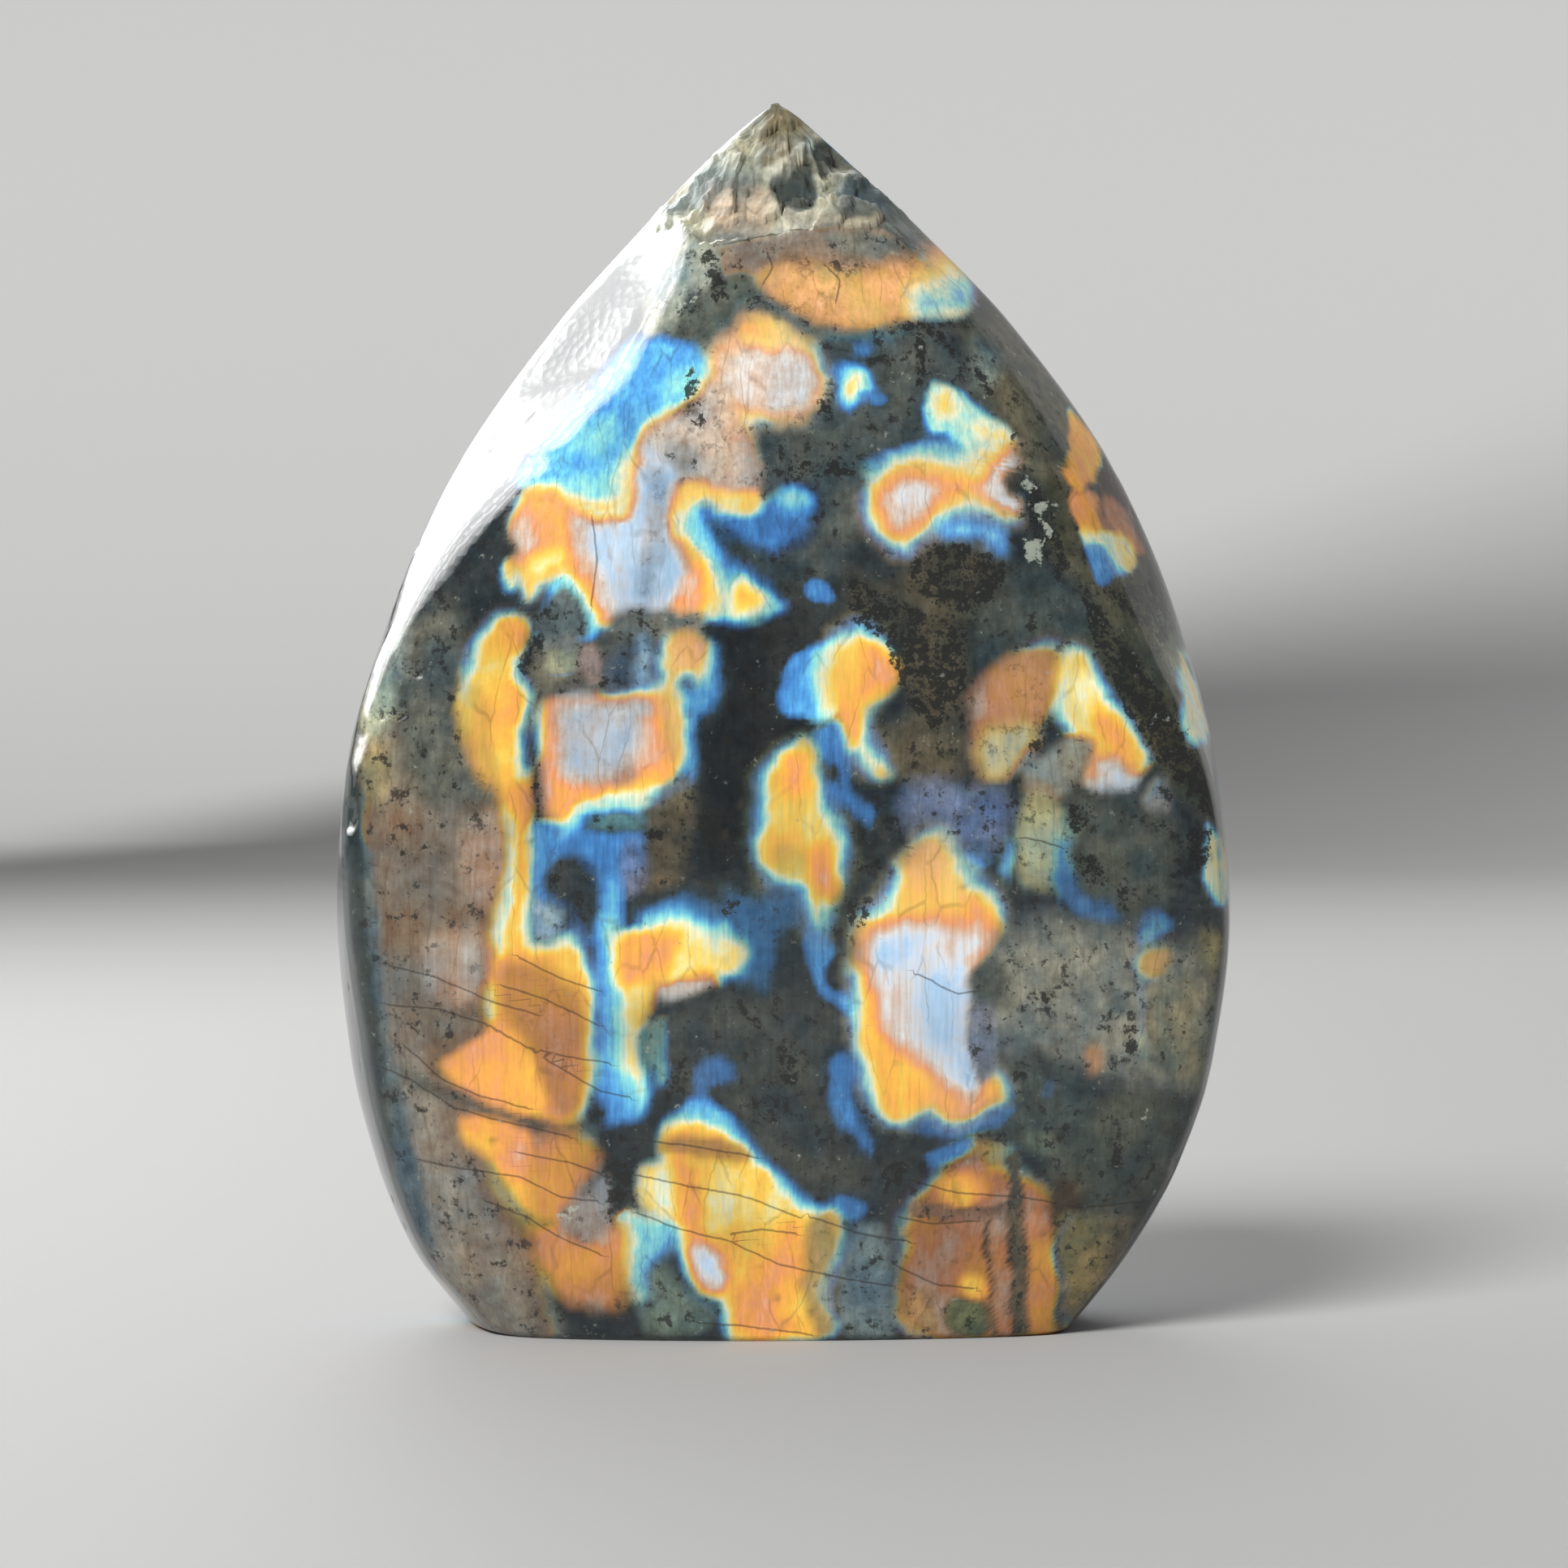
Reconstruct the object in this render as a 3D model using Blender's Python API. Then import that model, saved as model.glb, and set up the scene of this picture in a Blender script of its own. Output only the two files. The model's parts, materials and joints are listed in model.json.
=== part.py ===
"""A polished labradorite flame: one freeform stone, ground to faces by hand and sawn flat at its foot.

Metres, +Z up. The broad front face looks along -Y, and the origin is on the sawn foot, in the middle
of the stone's box. Heights and reaches below are in millimetres.
"""

import math

import bmesh
import bpy

MM = 0.001

# The outline seen from the front: height, then where the left and the right rim stand.
OUTLINE = (
    (0.0, -27.7, 25.4),
    (2.6, -29.9, 27.6),
    (6.1, -32.6, 30.3),
    (10.4, -34.7, 33.0),
    (14.8, -36.3, 35.2),
    (23.4, -38.4, 38.0),
    (36.4, -39.6, 39.6),
    (49.4, -38.6, 38.5),
    (62.4, -35.0, 35.2),
    (75.4, -29.3, 29.7),
    (88.4, -20.3, 20.6),
    (97.1, -12.6, 12.3),
    (101.4, -8.6, 7.7),
    (105.7, -4.1, 3.0),
    (107.4, -2.0, 1.0),
    (108.2, -0.8, -0.3),
)

# The same stone from the side: height, then how far the front and the back stand from the rim's plane.
DEPTHS = (
    (0.0, 14.5, 14.0),
    (6.1, 15.8, 15.2),
    (14.8, 17.3, 16.8),
    (26.0, 18.3, 18.0),
    (40.0, 18.4, 17.8),
    (55.0, 17.2, 16.0),
    (68.0, 15.2, 13.6),
    (80.0, 12.8, 10.9),
    (90.0, 9.9, 8.0),
    (97.1, 7.2, 5.7),
    (101.4, 5.0, 4.0),
    (105.7, 2.2, 1.8),
    (107.4, 1.0, 0.9),
    (108.2, 0.3, 0.3),
)

# The four ground bevels: height, then the share of the half width where the bevel leaves the broad
# face, and the share of the depth where it meets the rim. Small second shares bring it to an edge.
FRONT_LEFT = (
    (0.0, 0.86, 0.52),
    (9.5, 0.91, 0.50),
    (24.0, 0.905, 0.46),
    (38.0, 0.935, 0.42),
    (47.0, 0.965, 0.40),
    (57.0, 0.965, 0.46),
    (63.0, 0.93, 0.50),
    (67.0, 0.88, 0.48),
    (71.0, 0.82, 0.38),
    (75.0, 0.73, 0.24),
    (80.0, 0.63, 0.12),
    (84.0, 0.54, 0.06),
    (91.6, 0.51, 0.04),
    (97.0, 0.62, 0.05),
    (101.4, 0.74, 0.06),
    (108.2, 0.82, 0.08),
)
FRONT_RIGHT = (
    (0.0, 0.95, 0.50),
    (25.0, 0.96, 0.44),
    (45.0, 0.95, 0.32),
    (53.0, 0.90, 0.20),
    (60.0, 0.83, 0.12),
    (67.0, 0.79, 0.08),
    (88.0, 0.76, 0.06),
    (108.2, 0.66, 0.05),
)
BACK_LEFT = (
    (0.0, 0.80, 0.52),
    (30.0, 0.66, 0.36),
    (60.0, 0.56, 0.18),
    (108.2, 0.50, 0.08),
)
BACK_RIGHT = (
    (0.0, 0.84, 0.48),
    (30.0, 0.74, 0.34),
    (60.0, 0.60, 0.20),
    (108.2, 0.46, 0.10),
)

# How crisp the ridges are, higher being sharper: those inside the front and inside the back, and, by
# height, the rim where front and back meet.
FRONT_RIDGES = 12.0
BACK_RIDGES = 11.0
RIM = ((0.0, 11.0), (35.0, 12.0), (60.0, 20.0), (108.2, 26.0))

FRONT_CROWN = 0.26  # share of the depth that the broad face loses on its way to the rim
BACK_CROWN = 0.30
FRONT_TURN = 0.05  # the front face was ground a little deeper on its left
FOOT_CHAMFER = 0.4  # the saw cut's broken edge

RINGS = 56
RING_POINTS = 64
CROWDING = 1.35  # rings stand closer together towards the tip

STONE_GREY = (0.16, 0.17, 0.155, 1.0)
STONE_ROUGHNESS = 0.18


def slopes(rows, column):
    """Slopes of a smooth curve through one column that never overshoots its points."""
    steps = [
        (b[column] - a[column]) / (b[0] - a[0]) for a, b in zip(rows, rows[1:])
    ]
    middle = [
        0.0 if before * after <= 0 else 2 * before * after / (before + after)
        for before, after in zip(steps, steps[1:])
    ]
    return [steps[0], *middle, steps[-1]]


def read(rows, column, height):
    """One column of a table at any height, on a smooth curve through its points."""
    tangents = slopes(rows, column)
    for i, (low, high) in enumerate(zip(rows, rows[1:])):
        if height <= high[0]:
            break
    span = high[0] - low[0]
    t = min(max((height - low[0]) / span, 0.0), 1.0)
    return (
        (2 * t**3 - 3 * t**2 + 1) * low[column]
        + (t**3 - 2 * t**2 + t) * span * tangents[i]
        + (3 * t**2 - 2 * t**3) * high[column]
        + (t**3 - t**2) * span * tangents[i + 1]
    )


def bevel_share(rows, height, outward, towards):
    """How near a point of the unit section is to a bevel's plane: 1 on it, less inside it."""
    leaves, meets = read(rows, 1, height), read(rows, 2, height)
    plane = (1 - meets) * leaves + (1 - leaves)
    return ((1 - meets) * outward + (1 - leaves) * towards) / plane


def soft_largest(shares, crispness):
    """The largest share, with the change from one face to the next softened into a ridge."""
    return sum(max(share, 0.0) ** crispness for share in shares) ** (1 / crispness)


def unit_section(height):
    """A ring one unit wide and deep each way, where the faces and bevels meet in soft ridges."""
    ring = []
    for i in range(RING_POINTS):
        turn = 2 * math.pi * i / RING_POINTS
        across, deep = math.cos(turn), math.sin(turn)
        front = soft_largest(
            (
                -deep,
                bevel_share(FRONT_LEFT, height, -across, -deep),
                bevel_share(FRONT_RIGHT, height, across, -deep),
            ),
            FRONT_RIDGES,
        )
        back = soft_largest(
            (
                deep,
                bevel_share(BACK_LEFT, height, -across, deep),
                bevel_share(BACK_RIGHT, height, across, deep),
            ),
            BACK_RIDGES,
        )
        reach = 1 / soft_largest((front, back, across, -across), read(RIM, 1, height))
        ring.append((across * reach, deep * reach))
    left = min(across for across, deep in ring)
    right = max(across for across, deep in ring)
    return [
        (across / (right if across > 0 else -left), deep) for across, deep in ring
    ]


def section(height, inset=0.0):
    """One horizontal ring of the stone, in metres."""
    left, right = read(OUTLINE, 1, height) + inset, read(OUTLINE, 2, height) - inset
    front, back = read(DEPTHS, 1, height) - inset, read(DEPTHS, 2, height) - inset
    middle, half = (left + right) / 2, (right - left) / 2
    ring = []
    for across, deep in unit_section(height):
        if deep < 0:
            depth = front * (1 - FRONT_CROWN * across**2) * (1 - FRONT_TURN * across)
        else:
            depth = back * (1 - BACK_CROWN * across**2)
        ring.append(((middle + across * half) * MM, deep * depth * MM, height * MM))
    return ring


def ring_heights():
    """Heights of the rings above the foot's broken edge, crowded towards the tip."""
    top = OUTLINE[-1][0]
    shares = [i / (RINGS - 1) for i in range(RINGS)]
    return [
        FOOT_CHAMFER + (top - FOOT_CHAMFER) * (1 - (1 - share) ** CROWDING)
        for share in shares
    ]


def stone_material():
    """Polished feldspar: a smoky grey-green body under a glossy face."""
    material = bpy.data.materials.new("polished_labradorite")
    material.use_nodes = True
    shader = material.node_tree.nodes["Principled BSDF"]
    shader.inputs["Base Color"].default_value = STONE_GREY
    shader.inputs["Roughness"].default_value = STONE_ROUGHNESS
    shader.inputs["Metallic"].default_value = 0.0
    return material


def stone_mesh():
    """A loft through the horizontal rings, closed by the flat foot and the tip."""
    mesh = bpy.data.meshes.new("flame_stone")
    shape = bmesh.new()
    rings = [section(0.0, FOOT_CHAMFER)] + [section(h) for h in ring_heights()]
    loops = [[shape.verts.new(point) for point in ring] for ring in rings]
    for lower, upper in zip(loops, loops[1:]):
        for i in range(RING_POINTS):
            after = (i + 1) % RING_POINTS
            shape.faces.new((lower[i], lower[after], upper[after], upper[i]))
    shape.faces.new(list(reversed(loops[0])))
    shape.faces.new(loops[-1])
    bmesh.ops.recalc_face_normals(shape, faces=shape.faces)
    to_middle = [
        -(max(v.co[axis] for v in shape.verts) + min(v.co[axis] for v in shape.verts)) / 2
        for axis in (0, 1)
    ]
    bmesh.ops.translate(shape, verts=shape.verts, vec=(*to_middle, 0.0))
    shape.to_mesh(mesh)
    shape.free()
    mesh.shade_smooth()
    return mesh


def main():
    for old in list(bpy.data.objects):
        bpy.data.objects.remove(old)
    stones = bpy.data.collections.new("labradorite_flame")
    bpy.context.scene.collection.children.link(stones)
    stone = bpy.data.objects.new("flame_stone", stone_mesh())
    stone.data.materials.append(stone_material())
    stones.objects.link(stone)


main()
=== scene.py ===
"""A polished labradorite flame dressed for its portrait: the stone with its flashes, on a plain stage."""

import json
import math
from typing import NamedTuple

import bpy
import numpy as np
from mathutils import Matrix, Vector, noise

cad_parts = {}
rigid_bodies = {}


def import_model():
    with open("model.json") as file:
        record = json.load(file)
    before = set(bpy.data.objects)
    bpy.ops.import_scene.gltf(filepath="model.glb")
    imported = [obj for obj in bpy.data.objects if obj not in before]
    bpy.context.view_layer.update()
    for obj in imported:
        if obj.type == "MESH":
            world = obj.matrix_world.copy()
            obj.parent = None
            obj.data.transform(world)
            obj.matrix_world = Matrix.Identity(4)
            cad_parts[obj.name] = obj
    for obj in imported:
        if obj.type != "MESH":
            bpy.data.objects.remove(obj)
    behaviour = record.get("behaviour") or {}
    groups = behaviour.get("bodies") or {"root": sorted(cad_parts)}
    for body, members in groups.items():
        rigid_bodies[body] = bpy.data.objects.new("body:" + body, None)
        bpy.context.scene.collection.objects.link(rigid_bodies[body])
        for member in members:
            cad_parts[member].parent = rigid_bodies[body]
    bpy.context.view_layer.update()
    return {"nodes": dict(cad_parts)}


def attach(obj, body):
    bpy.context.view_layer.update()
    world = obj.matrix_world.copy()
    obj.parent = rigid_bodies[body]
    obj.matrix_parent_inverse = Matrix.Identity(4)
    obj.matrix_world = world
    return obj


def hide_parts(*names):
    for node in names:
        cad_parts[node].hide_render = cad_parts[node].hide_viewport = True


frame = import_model()

bl_info = {
    "name": "Labradorite Flame",
    "version": (1, 0, 0),
    "blender": (4, 5, 0),
    "location": "3D View > Sidebar > Labradorite",
    "description": "Grinds, fractures and colours a freestanding labradorite flame",
    "category": "Add Mesh",
}

MM = 0.001
NODE = "flame_stone"

# The eye that the portrait is seen from, worked out from the stone's outline and the bow of its foot.
PORTRAIT_SIDE = 1932  # pixels each way
FOCAL_PIXELS = 6233.0
EYE = Vector((0.0001, -0.450, 0.0553))
EYE_PITCH = math.radians(-0.943)
SENSOR_MM = 36.0

# The lamp panel stands where the left bevel mirrors it to the eye.
PANEL_PLACE = Vector((-0.47, 0.46, 0.60))
PANEL_HALF = (0.96, 0.58)
PANEL_AIM = Vector((0.0, 0.0, 0.07))
LAMP_SPACING = 0.14

# The soft light: an even grey all round, and daylight as wide as this part of the sky, turned this way.
SURROUND_GREY = "#c4c4c6"
SURROUND_STRENGTH = 0.42
DAYLIGHT_WIDTH = math.radians(24)
DAYLIGHT_TURN = (math.radians(52), 0.0, math.radians(-28))

# The floor reaches this far each way. Behind the stone it rises on a round sweep into a backdrop as high.
FLOOR_HALF = 3.0
SWEEP_START = 1.2
SWEEP = 0.8
SWEEP_STEPS = 12

# How finely the skin is woven: most of its columns run over the front, where the detail is.
FRONT_COLUMNS = 236
BACK_COLUMNS = 100
SKIN_ROWS = 286

# Places along the film's colours. Labradorite flashes where thin layers inside it are evenly spaced, and
# from the edge of a patch inwards the layers grow thicker, so the colours come in this order. A patch with a
# plain number lies between two of them.
NIGHT = 0.0
COBALT = 0.19
AZURE = 0.25
SKY = 0.31
AQUA = 0.38
LEMON = 0.49
CORN = 0.54
GOLD = 0.59
AMBER = 0.65
ORANGE = 0.71
COPPER = 0.76
MAUVE = 0.83
PEARL = 0.90
LAVENDER = 0.95
ICE = 1.0
FILM_COLOURS = (
    (0.00, "#2c3438"),
    (0.07, "#37566a"),
    (0.13, "#3c70a8"),
    (0.20, "#4688cc"),
    (0.26, "#56a7e8"),
    (0.31, "#6cc6ee"),
    (0.37, "#91e6e6"),
    (0.43, "#c8f0da"),
    (0.48, "#f1f4cf"),
    (0.53, "#fbe793"),
    (0.58, "#ffd55c"),
    (0.63, "#ffc04c"),
    (0.69, "#fbac52"),
    (0.75, "#ee9f6c"),
    (0.80, "#e0b394"),
    (0.85, "#ddc7b8"),
    (0.90, "#e0dedd"),
    (0.95, "#cddff2"),
    (1.00, "#aed2f1"),
)

# The colours that the stone and its flaws share, where no film flashes. The umber is painted shade, laid
# into the small pits.
SOOT = "#1f211f"
SLATE = "#4c5355"
MOSS = "#5d625a"
PIT_SHADE_UMBER = "#4f4636"
CRACK_BROWN = "#2a2420"
JOINT_BROWN = "#3a3027"
PALE_CRUST = "#b7c0b0"
CHALK = "#a9ad9e"
UNLIT_FILM, UNLIT_FRONT = 0.02, "#353d40"  # what the front has where no patch lies

# How the blotches change the body's colour: places along their scatter, and factors of red, green and blue.
BLOTCH_TINTS = ((0.36, (0.50, 0.64, 0.74, 1.0)), (0.64, (1.16, 1.10, 0.96, 1.0)))

# The crystal's own patterns: size across in millimetres, how many times taller than wide, detail and
# roughness. The lines between its twins are really finer, and drawn as coarse as they need to show.
SCATTERS = (
    ("twins", 0.35, 18, 2.0, 0.6),
    ("bands", 1.5, 9, 2.0, 0.5),
    ("mottle", 1.4, 1, 5.0, 0.62),
    ("blotch", 4.5, 1, 3.0, 0.55),
    ("ragged", 1.3, 1, 7.0, 0.75),
)
FILM_SWAYS = (("twins", 0.08), ("bands", 0.14), ("mottle", 0.16))  # how far each one shifts the film

# Hairline joints part the crystal into blocks that lean a little.
JOINT_BLOCK = (2.4 * MM, 6.0 * MM, 9.0 * MM)
JOINT_LEAN = math.radians(-8)
JOINT_BEND = 1.5 * MM  # how far at most a joint wanders, mixed in from a scatter between 0 and 1 metre
JOINT_SWELL = 3 * MM  # the size of that wandering

# The orange peel that hand polishing leaves, how rough the broken tip is, and the feldspar's refraction.
DIMPLE = 1.0 * MM
DIMPLE_DEPTH = 0.014 * MM
BROKEN_ROUGHNESS = 0.62
FELDSPAR_IOR = 1.56

# How squarely a point looks at the eye where the outlined patches begin, and where they are whole; and the
# same for the chips.
PATCHES_SHOW = (-0.02, 0.10)
CHIPS_SHOW = (0.10, 0.40)

# The back's drifting patches: their size, and where their three scatters are read, so far apart that none
# follows another.
BACK_PATCH = 22 * MM
BACK_FILM = Vector((3.1, 0.0, 7.7))
BACK_GLOW = Vector((9.4, 5.2, 1.3))
BACK_SHADE = Vector((1.7, 8.8, 4.1))

# The edges of patches wander in wide and in fine bends, and their colour and glow drift: sizes of the bends
# and drifts, and how many pixels the bends push an edge.
WIDE_BEND, WIDE_PUSH = 5 * MM, 8
FINE_BEND, FINE_PUSH = 1.6 * MM, 4
CHIP_BEND, CHIP_PUSH = 1.2 * MM, 5
FILM_DRIFT = 4.5 * MM
GLOW_DRIFT = 8 * MM
GLOW_AWAY = (5.5, 2.2, 9.1)

# The broken tip's flat facets and the crumbs on them.
FACET = 2.4 * MM
CRUMB = 1.1 * MM


class Zone(NamedTuple):
    """A patch seen from the portrait's eye. A value left as None shows through from below.

    The edge is its width in pixels, and the fringe how much of the film's colours shows along it. A crisp
    patch keeps its corners.
    """

    name: str
    film: float | None
    glow: float | None
    body: str | None
    edge: float
    outline: tuple
    fringe: float = 1.0
    crisp: bool = False


# Patches from the bottom of the pile to its top, outlined in the portrait's own pixels.
GROUND = (
    Zone("left plateau", MAUVE, 0.12, "#6c6457", 26, (
        (446, 905), (500, 860), (560, 850), (600, 920), (622, 1000), (628, 1060), (612, 1130),
        (600, 1220), (592, 1290), (600, 1420), (660, 1540), (680, 1620), (690, 1660), (560, 1660),
        (505, 1500), (465, 1300), (446, 1100),
    )),
    Zone("plateau shoulder", None, 0.0, "#6a6d66", 40, (
        (490, 760), (560, 740), (590, 800), (560, 850), (590, 930), (625, 1000), (560, 990),
        (500, 985), (488, 900),
    )),
    Zone("plateau east", None, 0.2, "#9d9082", 24, (
        (575, 1010), (612, 1000), (624, 1040), (618, 1090), (600, 1130), (570, 1100), (560, 1050),
    )),
    Zone("plateau quartz", MAUVE, 0.3, "#94897c", 24, (
        (520, 1145), (560, 1140), (600, 1145), (598, 1210), (575, 1240), (540, 1225), (515, 1190),
    )),
    Zone("plateau foot", None, 0.1, "#8a8376", 40, (
        (480, 1290), (540, 1330), (570, 1400), (620, 1500), (665, 1600), (690, 1650), (560, 1650),
        (510, 1500),
    )),
    Zone("plateau dusk", None, 0.05, "#5f625b", 22, (
        (470, 1310), (510, 1325), (580, 1352), (650, 1368), (735, 1385), (735, 1400), (650, 1388),
        (580, 1372), (500, 1345), (470, 1330),
    )),
    Zone("left cream", None, 0.0, "#ced0b4", 16, (
        (462, 835), (478, 815), (488, 850), (480, 905), (455, 915), (444, 885), (452, 855),
    )),
    Zone("left milk", None, 0.0, "#8d9a9a", 22, (
        (474, 775), (492, 755), (505, 790), (498, 835), (480, 835), (468, 800),
    )),
    Zone("left tan", None, 0.0, "#b0a078", 26, (
        (445, 915), (478, 910), (482, 950), (472, 990), (455, 985), (440, 945),
    )),
    Zone("left bevel", NIGHT, 0.0, "#3a4644", 10, (
        (410, 985), (432, 945), (441, 1000), (449, 1100), (462, 1200), (470, 1250), (476, 1330),
        (490, 1400), (508, 1480), (530, 1550), (545, 1600), (520, 1640), (400, 1500),
    )),
    # Painted reflection: a blue-grey line along the inner side of the left bevel, where the bevel mirrors
    # its surroundings.
    Zone("left bevel painted sheen", None, 0.0, "#65757c", 14, (
        (446, 1045), (456, 1040), (466, 1140), (478, 1240), (486, 1330), (512, 1400), (528, 1480),
        (540, 1540), (530, 1545), (502, 1470), (484, 1400), (474, 1320), (466, 1250), (456, 1150),
    )),
    Zone("upper dusk", NIGHT, 0.0, "#58605e", 40, (
        (1010, 405), (1080, 395), (1150, 395), (1200, 440), (1250, 530), (1150, 545), (1070, 580),
        (1050, 700), (1000, 720), (955, 690), (1010, 645), (1000, 600), (930, 605), (925, 545),
        (1000, 520),
    )),
    Zone("right flank", NIGHT, 0.0, "#696656", 22, (
        (1190, 385), (1240, 395), (1300, 470), (1330, 520), (1312, 560), (1318, 660), (1330, 720),
        (1295, 690), (1285, 600), (1260, 585), (1245, 540), (1215, 490), (1190, 430),
    )),
    Zone("flank haze", None, 0.0, "#7b8b8a", 22, (
        (1195, 425), (1220, 420), (1235, 450), (1225, 480), (1205, 475),
    )),
    Zone("flank straw", None, 0.0, "#4a4c3c", 18, (
        (1272, 590), (1300, 580), (1318, 640), (1328, 700), (1305, 690), (1285, 640),
    )),
    Zone("right bevel dusk", NIGHT, 0.0, "#5c5c4b", 16, (
        (1320, 700), (1400, 660), (1450, 760), (1490, 900), (1515, 1010), (1480, 1010), (1430, 960),
        (1395, 890), (1370, 820), (1330, 760),
    )),
    Zone("right bevel seam", None, 0.0, "#4a4839", 12, (
        (1372, 775), (1400, 815), (1440, 868), (1455, 910), (1492, 955), (1513, 1020), (1490, 1005),
        (1452, 960), (1415, 920), (1385, 860),
    )),
    Zone("right bevel plum", NIGHT, 0.0, "#4a3530", 14, (
        (1340, 560), (1372, 575), (1412, 640), (1418, 690), (1385, 665), (1355, 640),
    )),
    Zone("dove haze", NIGHT, 0.0, "#4f5855", 30, (
        (1190, 730), (1240, 700), (1320, 705), (1370, 760), (1340, 800), (1270, 790), (1210, 820),
        (1190, 790),
    )),
    Zone("right meadow", NIGHT, 0.0, "#5a6059", 40, (
        (1320, 980), (1400, 970), (1450, 1010), (1450, 1100), (1390, 1140), (1330, 1100),
        (1310, 1040),
    )),
    Zone("right fog", NIGHT, 0.0, "#8e9087", 50, (
        (1190, 1200), (1260, 1130), (1330, 1130), (1420, 1170), (1500, 1170), (1500, 1330),
        (1400, 1340), (1320, 1310), (1240, 1300), (1200, 1260),
    )),
    Zone("right straw", None, 0.0, "#969078", 36, (
        (1400, 1210), (1490, 1200), (1490, 1330), (1440, 1330), (1400, 1290),
    )),
    Zone("right forest", NIGHT, 0.0, "#555c54", 30, (
        (1310, 1360), (1470, 1345), (1450, 1430), (1420, 1480), (1330, 1500), (1290, 1440),
    )),
    Zone("right foot", NIGHT, 0.0, "#766f5e", 26, (
        (1280, 1500), (1420, 1480), (1370, 1580), (1330, 1650), (1290, 1650),
    )),
    Zone("south-east teal", NIGHT, 0.0, "#4a5655", 26, (
        (1235, 1310), (1300, 1300), (1350, 1330), (1350, 1395), (1240, 1400), (1225, 1380),
    )),
    Zone("centre loam", NIGHT, 0.0, "#625c4e", 24, (
        (1085, 885), (1190, 890), (1195, 960), (1110, 975), (1092, 940),
    )),
    Zone("north night", None, 0.0, "#5a5548", 30, (
        (1035, 690), (1095, 730), (1125, 690), (1200, 665), (1245, 700), (1230, 750), (1190, 770),
        (1192, 900), (1150, 910), (1105, 850), (1098, 790), (1050, 770),
    )),
    Zone("centre night", None, 0.0, "#262b2d", 34, (
        (870, 770), (950, 760), (1000, 760), (960, 810), (945, 870), (1010, 890), (960, 920),
        (930, 960), (920, 1060), (900, 1090), (860, 1080), (850, 960), (880, 890), (895, 830),
    )),
    Zone("south night", None, 0.0, "#4a504e", 30, (
        (830, 1230), (950, 1230), (1040, 1250), (1020, 1300), (1010, 1360), (1060, 1430),
        (1100, 1440), (1090, 1480), (1000, 1470), (930, 1410), (880, 1340), (830, 1380),
        (800, 1330),
    )),
    Zone("centre brown", None, 0.0, "#665c4c", 20, (
        (798, 985), (850, 980), (848, 1060), (835, 1095), (795, 1090), (790, 1040),
    )),
    Zone("tip bone", NIGHT, 0.0, "#b9b6a4", 12, (
        (955, 100), (800, 200), (780, 262), (835, 290), (858, 305), (885, 312), (938, 300), (968, 290),
        (1002, 276), (1045, 262), (1052, 212), (1012, 155),
    )),
    Zone("tip crown", None, 0.0, "#8c836b", 8, (
        (939, 134), (962, 120), (984, 134), (1003, 160), (997, 176), (969, 191), (946, 213),
        (939, 194),
    ), crisp=True),
    Zone("tip slab", None, 0.0, "#bdbba6", 8, (
        (890, 179), (923, 149), (940, 190), (946, 210), (931, 221), (893, 213),
    ), crisp=True),
    Zone("tip sill", None, 0.0, "#c6b5a2", 14, (
        (852, 225), (878, 213), (946, 221), (950, 244), (950, 281), (924, 293), (890, 293),
        (863, 262),
    )),
    # Painted shade: the sunk chip is painted dark, as under the ledge above it.
    Zone("tip chip painted shade", None, 0.0, "#565a54", 6, (
        (950, 221), (969, 206), (999, 183), (1007, 194), (1003, 213), (1001, 251), (984, 259),
        (961, 251), (950, 240),
    ), crisp=True),
    # Painted shade: the notch beside the chip, dark as under the ledge.
    Zone("tip notch painted shade", None, 0.0, "#4b4d46", 5, (
        (1007, 174), (1022, 174), (1041, 198), (1029, 210), (1014, 213), (1007, 194),
    ), crisp=True),
    Zone("tip splinter", None, 0.0, "#b6b39f", 5, (
        (1007, 225), (1026, 213), (1043, 204), (1046, 217), (1029, 240), (1007, 255),
    ), crisp=True),
    # Painted highlight: a pale line along the ledge above the chip.
    Zone("tip ledge painted highlight", None, 0.0, "#e2ddcb", 5, (
        (1003, 168), (1016, 166), (1004, 182), (969, 204), (946, 217), (938, 208), (969, 193),
    ), crisp=True),
    Zone("tip crystals", None, 0.0, "#d6d3c4", 7, (
        (958, 255), (999, 251), (995, 278), (984, 285), (954, 281),
    ), crisp=True),
    Zone("tip slate", NIGHT, 0.0, "#6c7472", 14, (
        (1044, 205), (1067, 208), (1130, 272), (1165, 302), (1115, 292), (1075, 272), (1037, 262),
        (1026, 251),
    )),
    Zone("tip streak", None, 0.0, "#bab4a4", 8, (
        (999, 270), (1075, 264), (1085, 276), (1040, 282), (999, 281),
    )),
    Zone("brow", MAUVE, 0.1, "#9a8775", 12, (
        (890, 297), (992, 281), (1082, 279), (1112, 300), (1150, 298), (1120, 318), (1060, 330),
        (1022, 332), (992, 316), (961, 316), (940, 344), (912, 357), (893, 342), (880, 315),
    )),
    Zone("brow grey", None, 0.0, "#8b8a81", 14, (
        (1012, 286), (1082, 280), (1115, 302), (1090, 318), (1050, 318), (1022, 305),
    )),
    Zone("temple", NIGHT, 0.0, "#646c64", 14, (
        (905, 335), (938, 345), (955, 368), (928, 378), (908, 395), (884, 418), (876, 452),
        (850, 432), (818, 420), (830, 385), (862, 365), (890, 350),
    )),
    # Painted highlight over the stone's blue-grey: a pale patch that carries the left bevel's mirror image
    # of the lamp panel further in than the panel itself reaches.
    Zone("temple painted highlight", None, 0.0, "#b9beb0", 14, (
        (800, 262), (850, 268), (866, 300), (886, 318), (882, 345), (866, 362), (848, 356), (842, 385),
        (816, 425), (790, 410), (800, 330),
    )),
)

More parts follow.
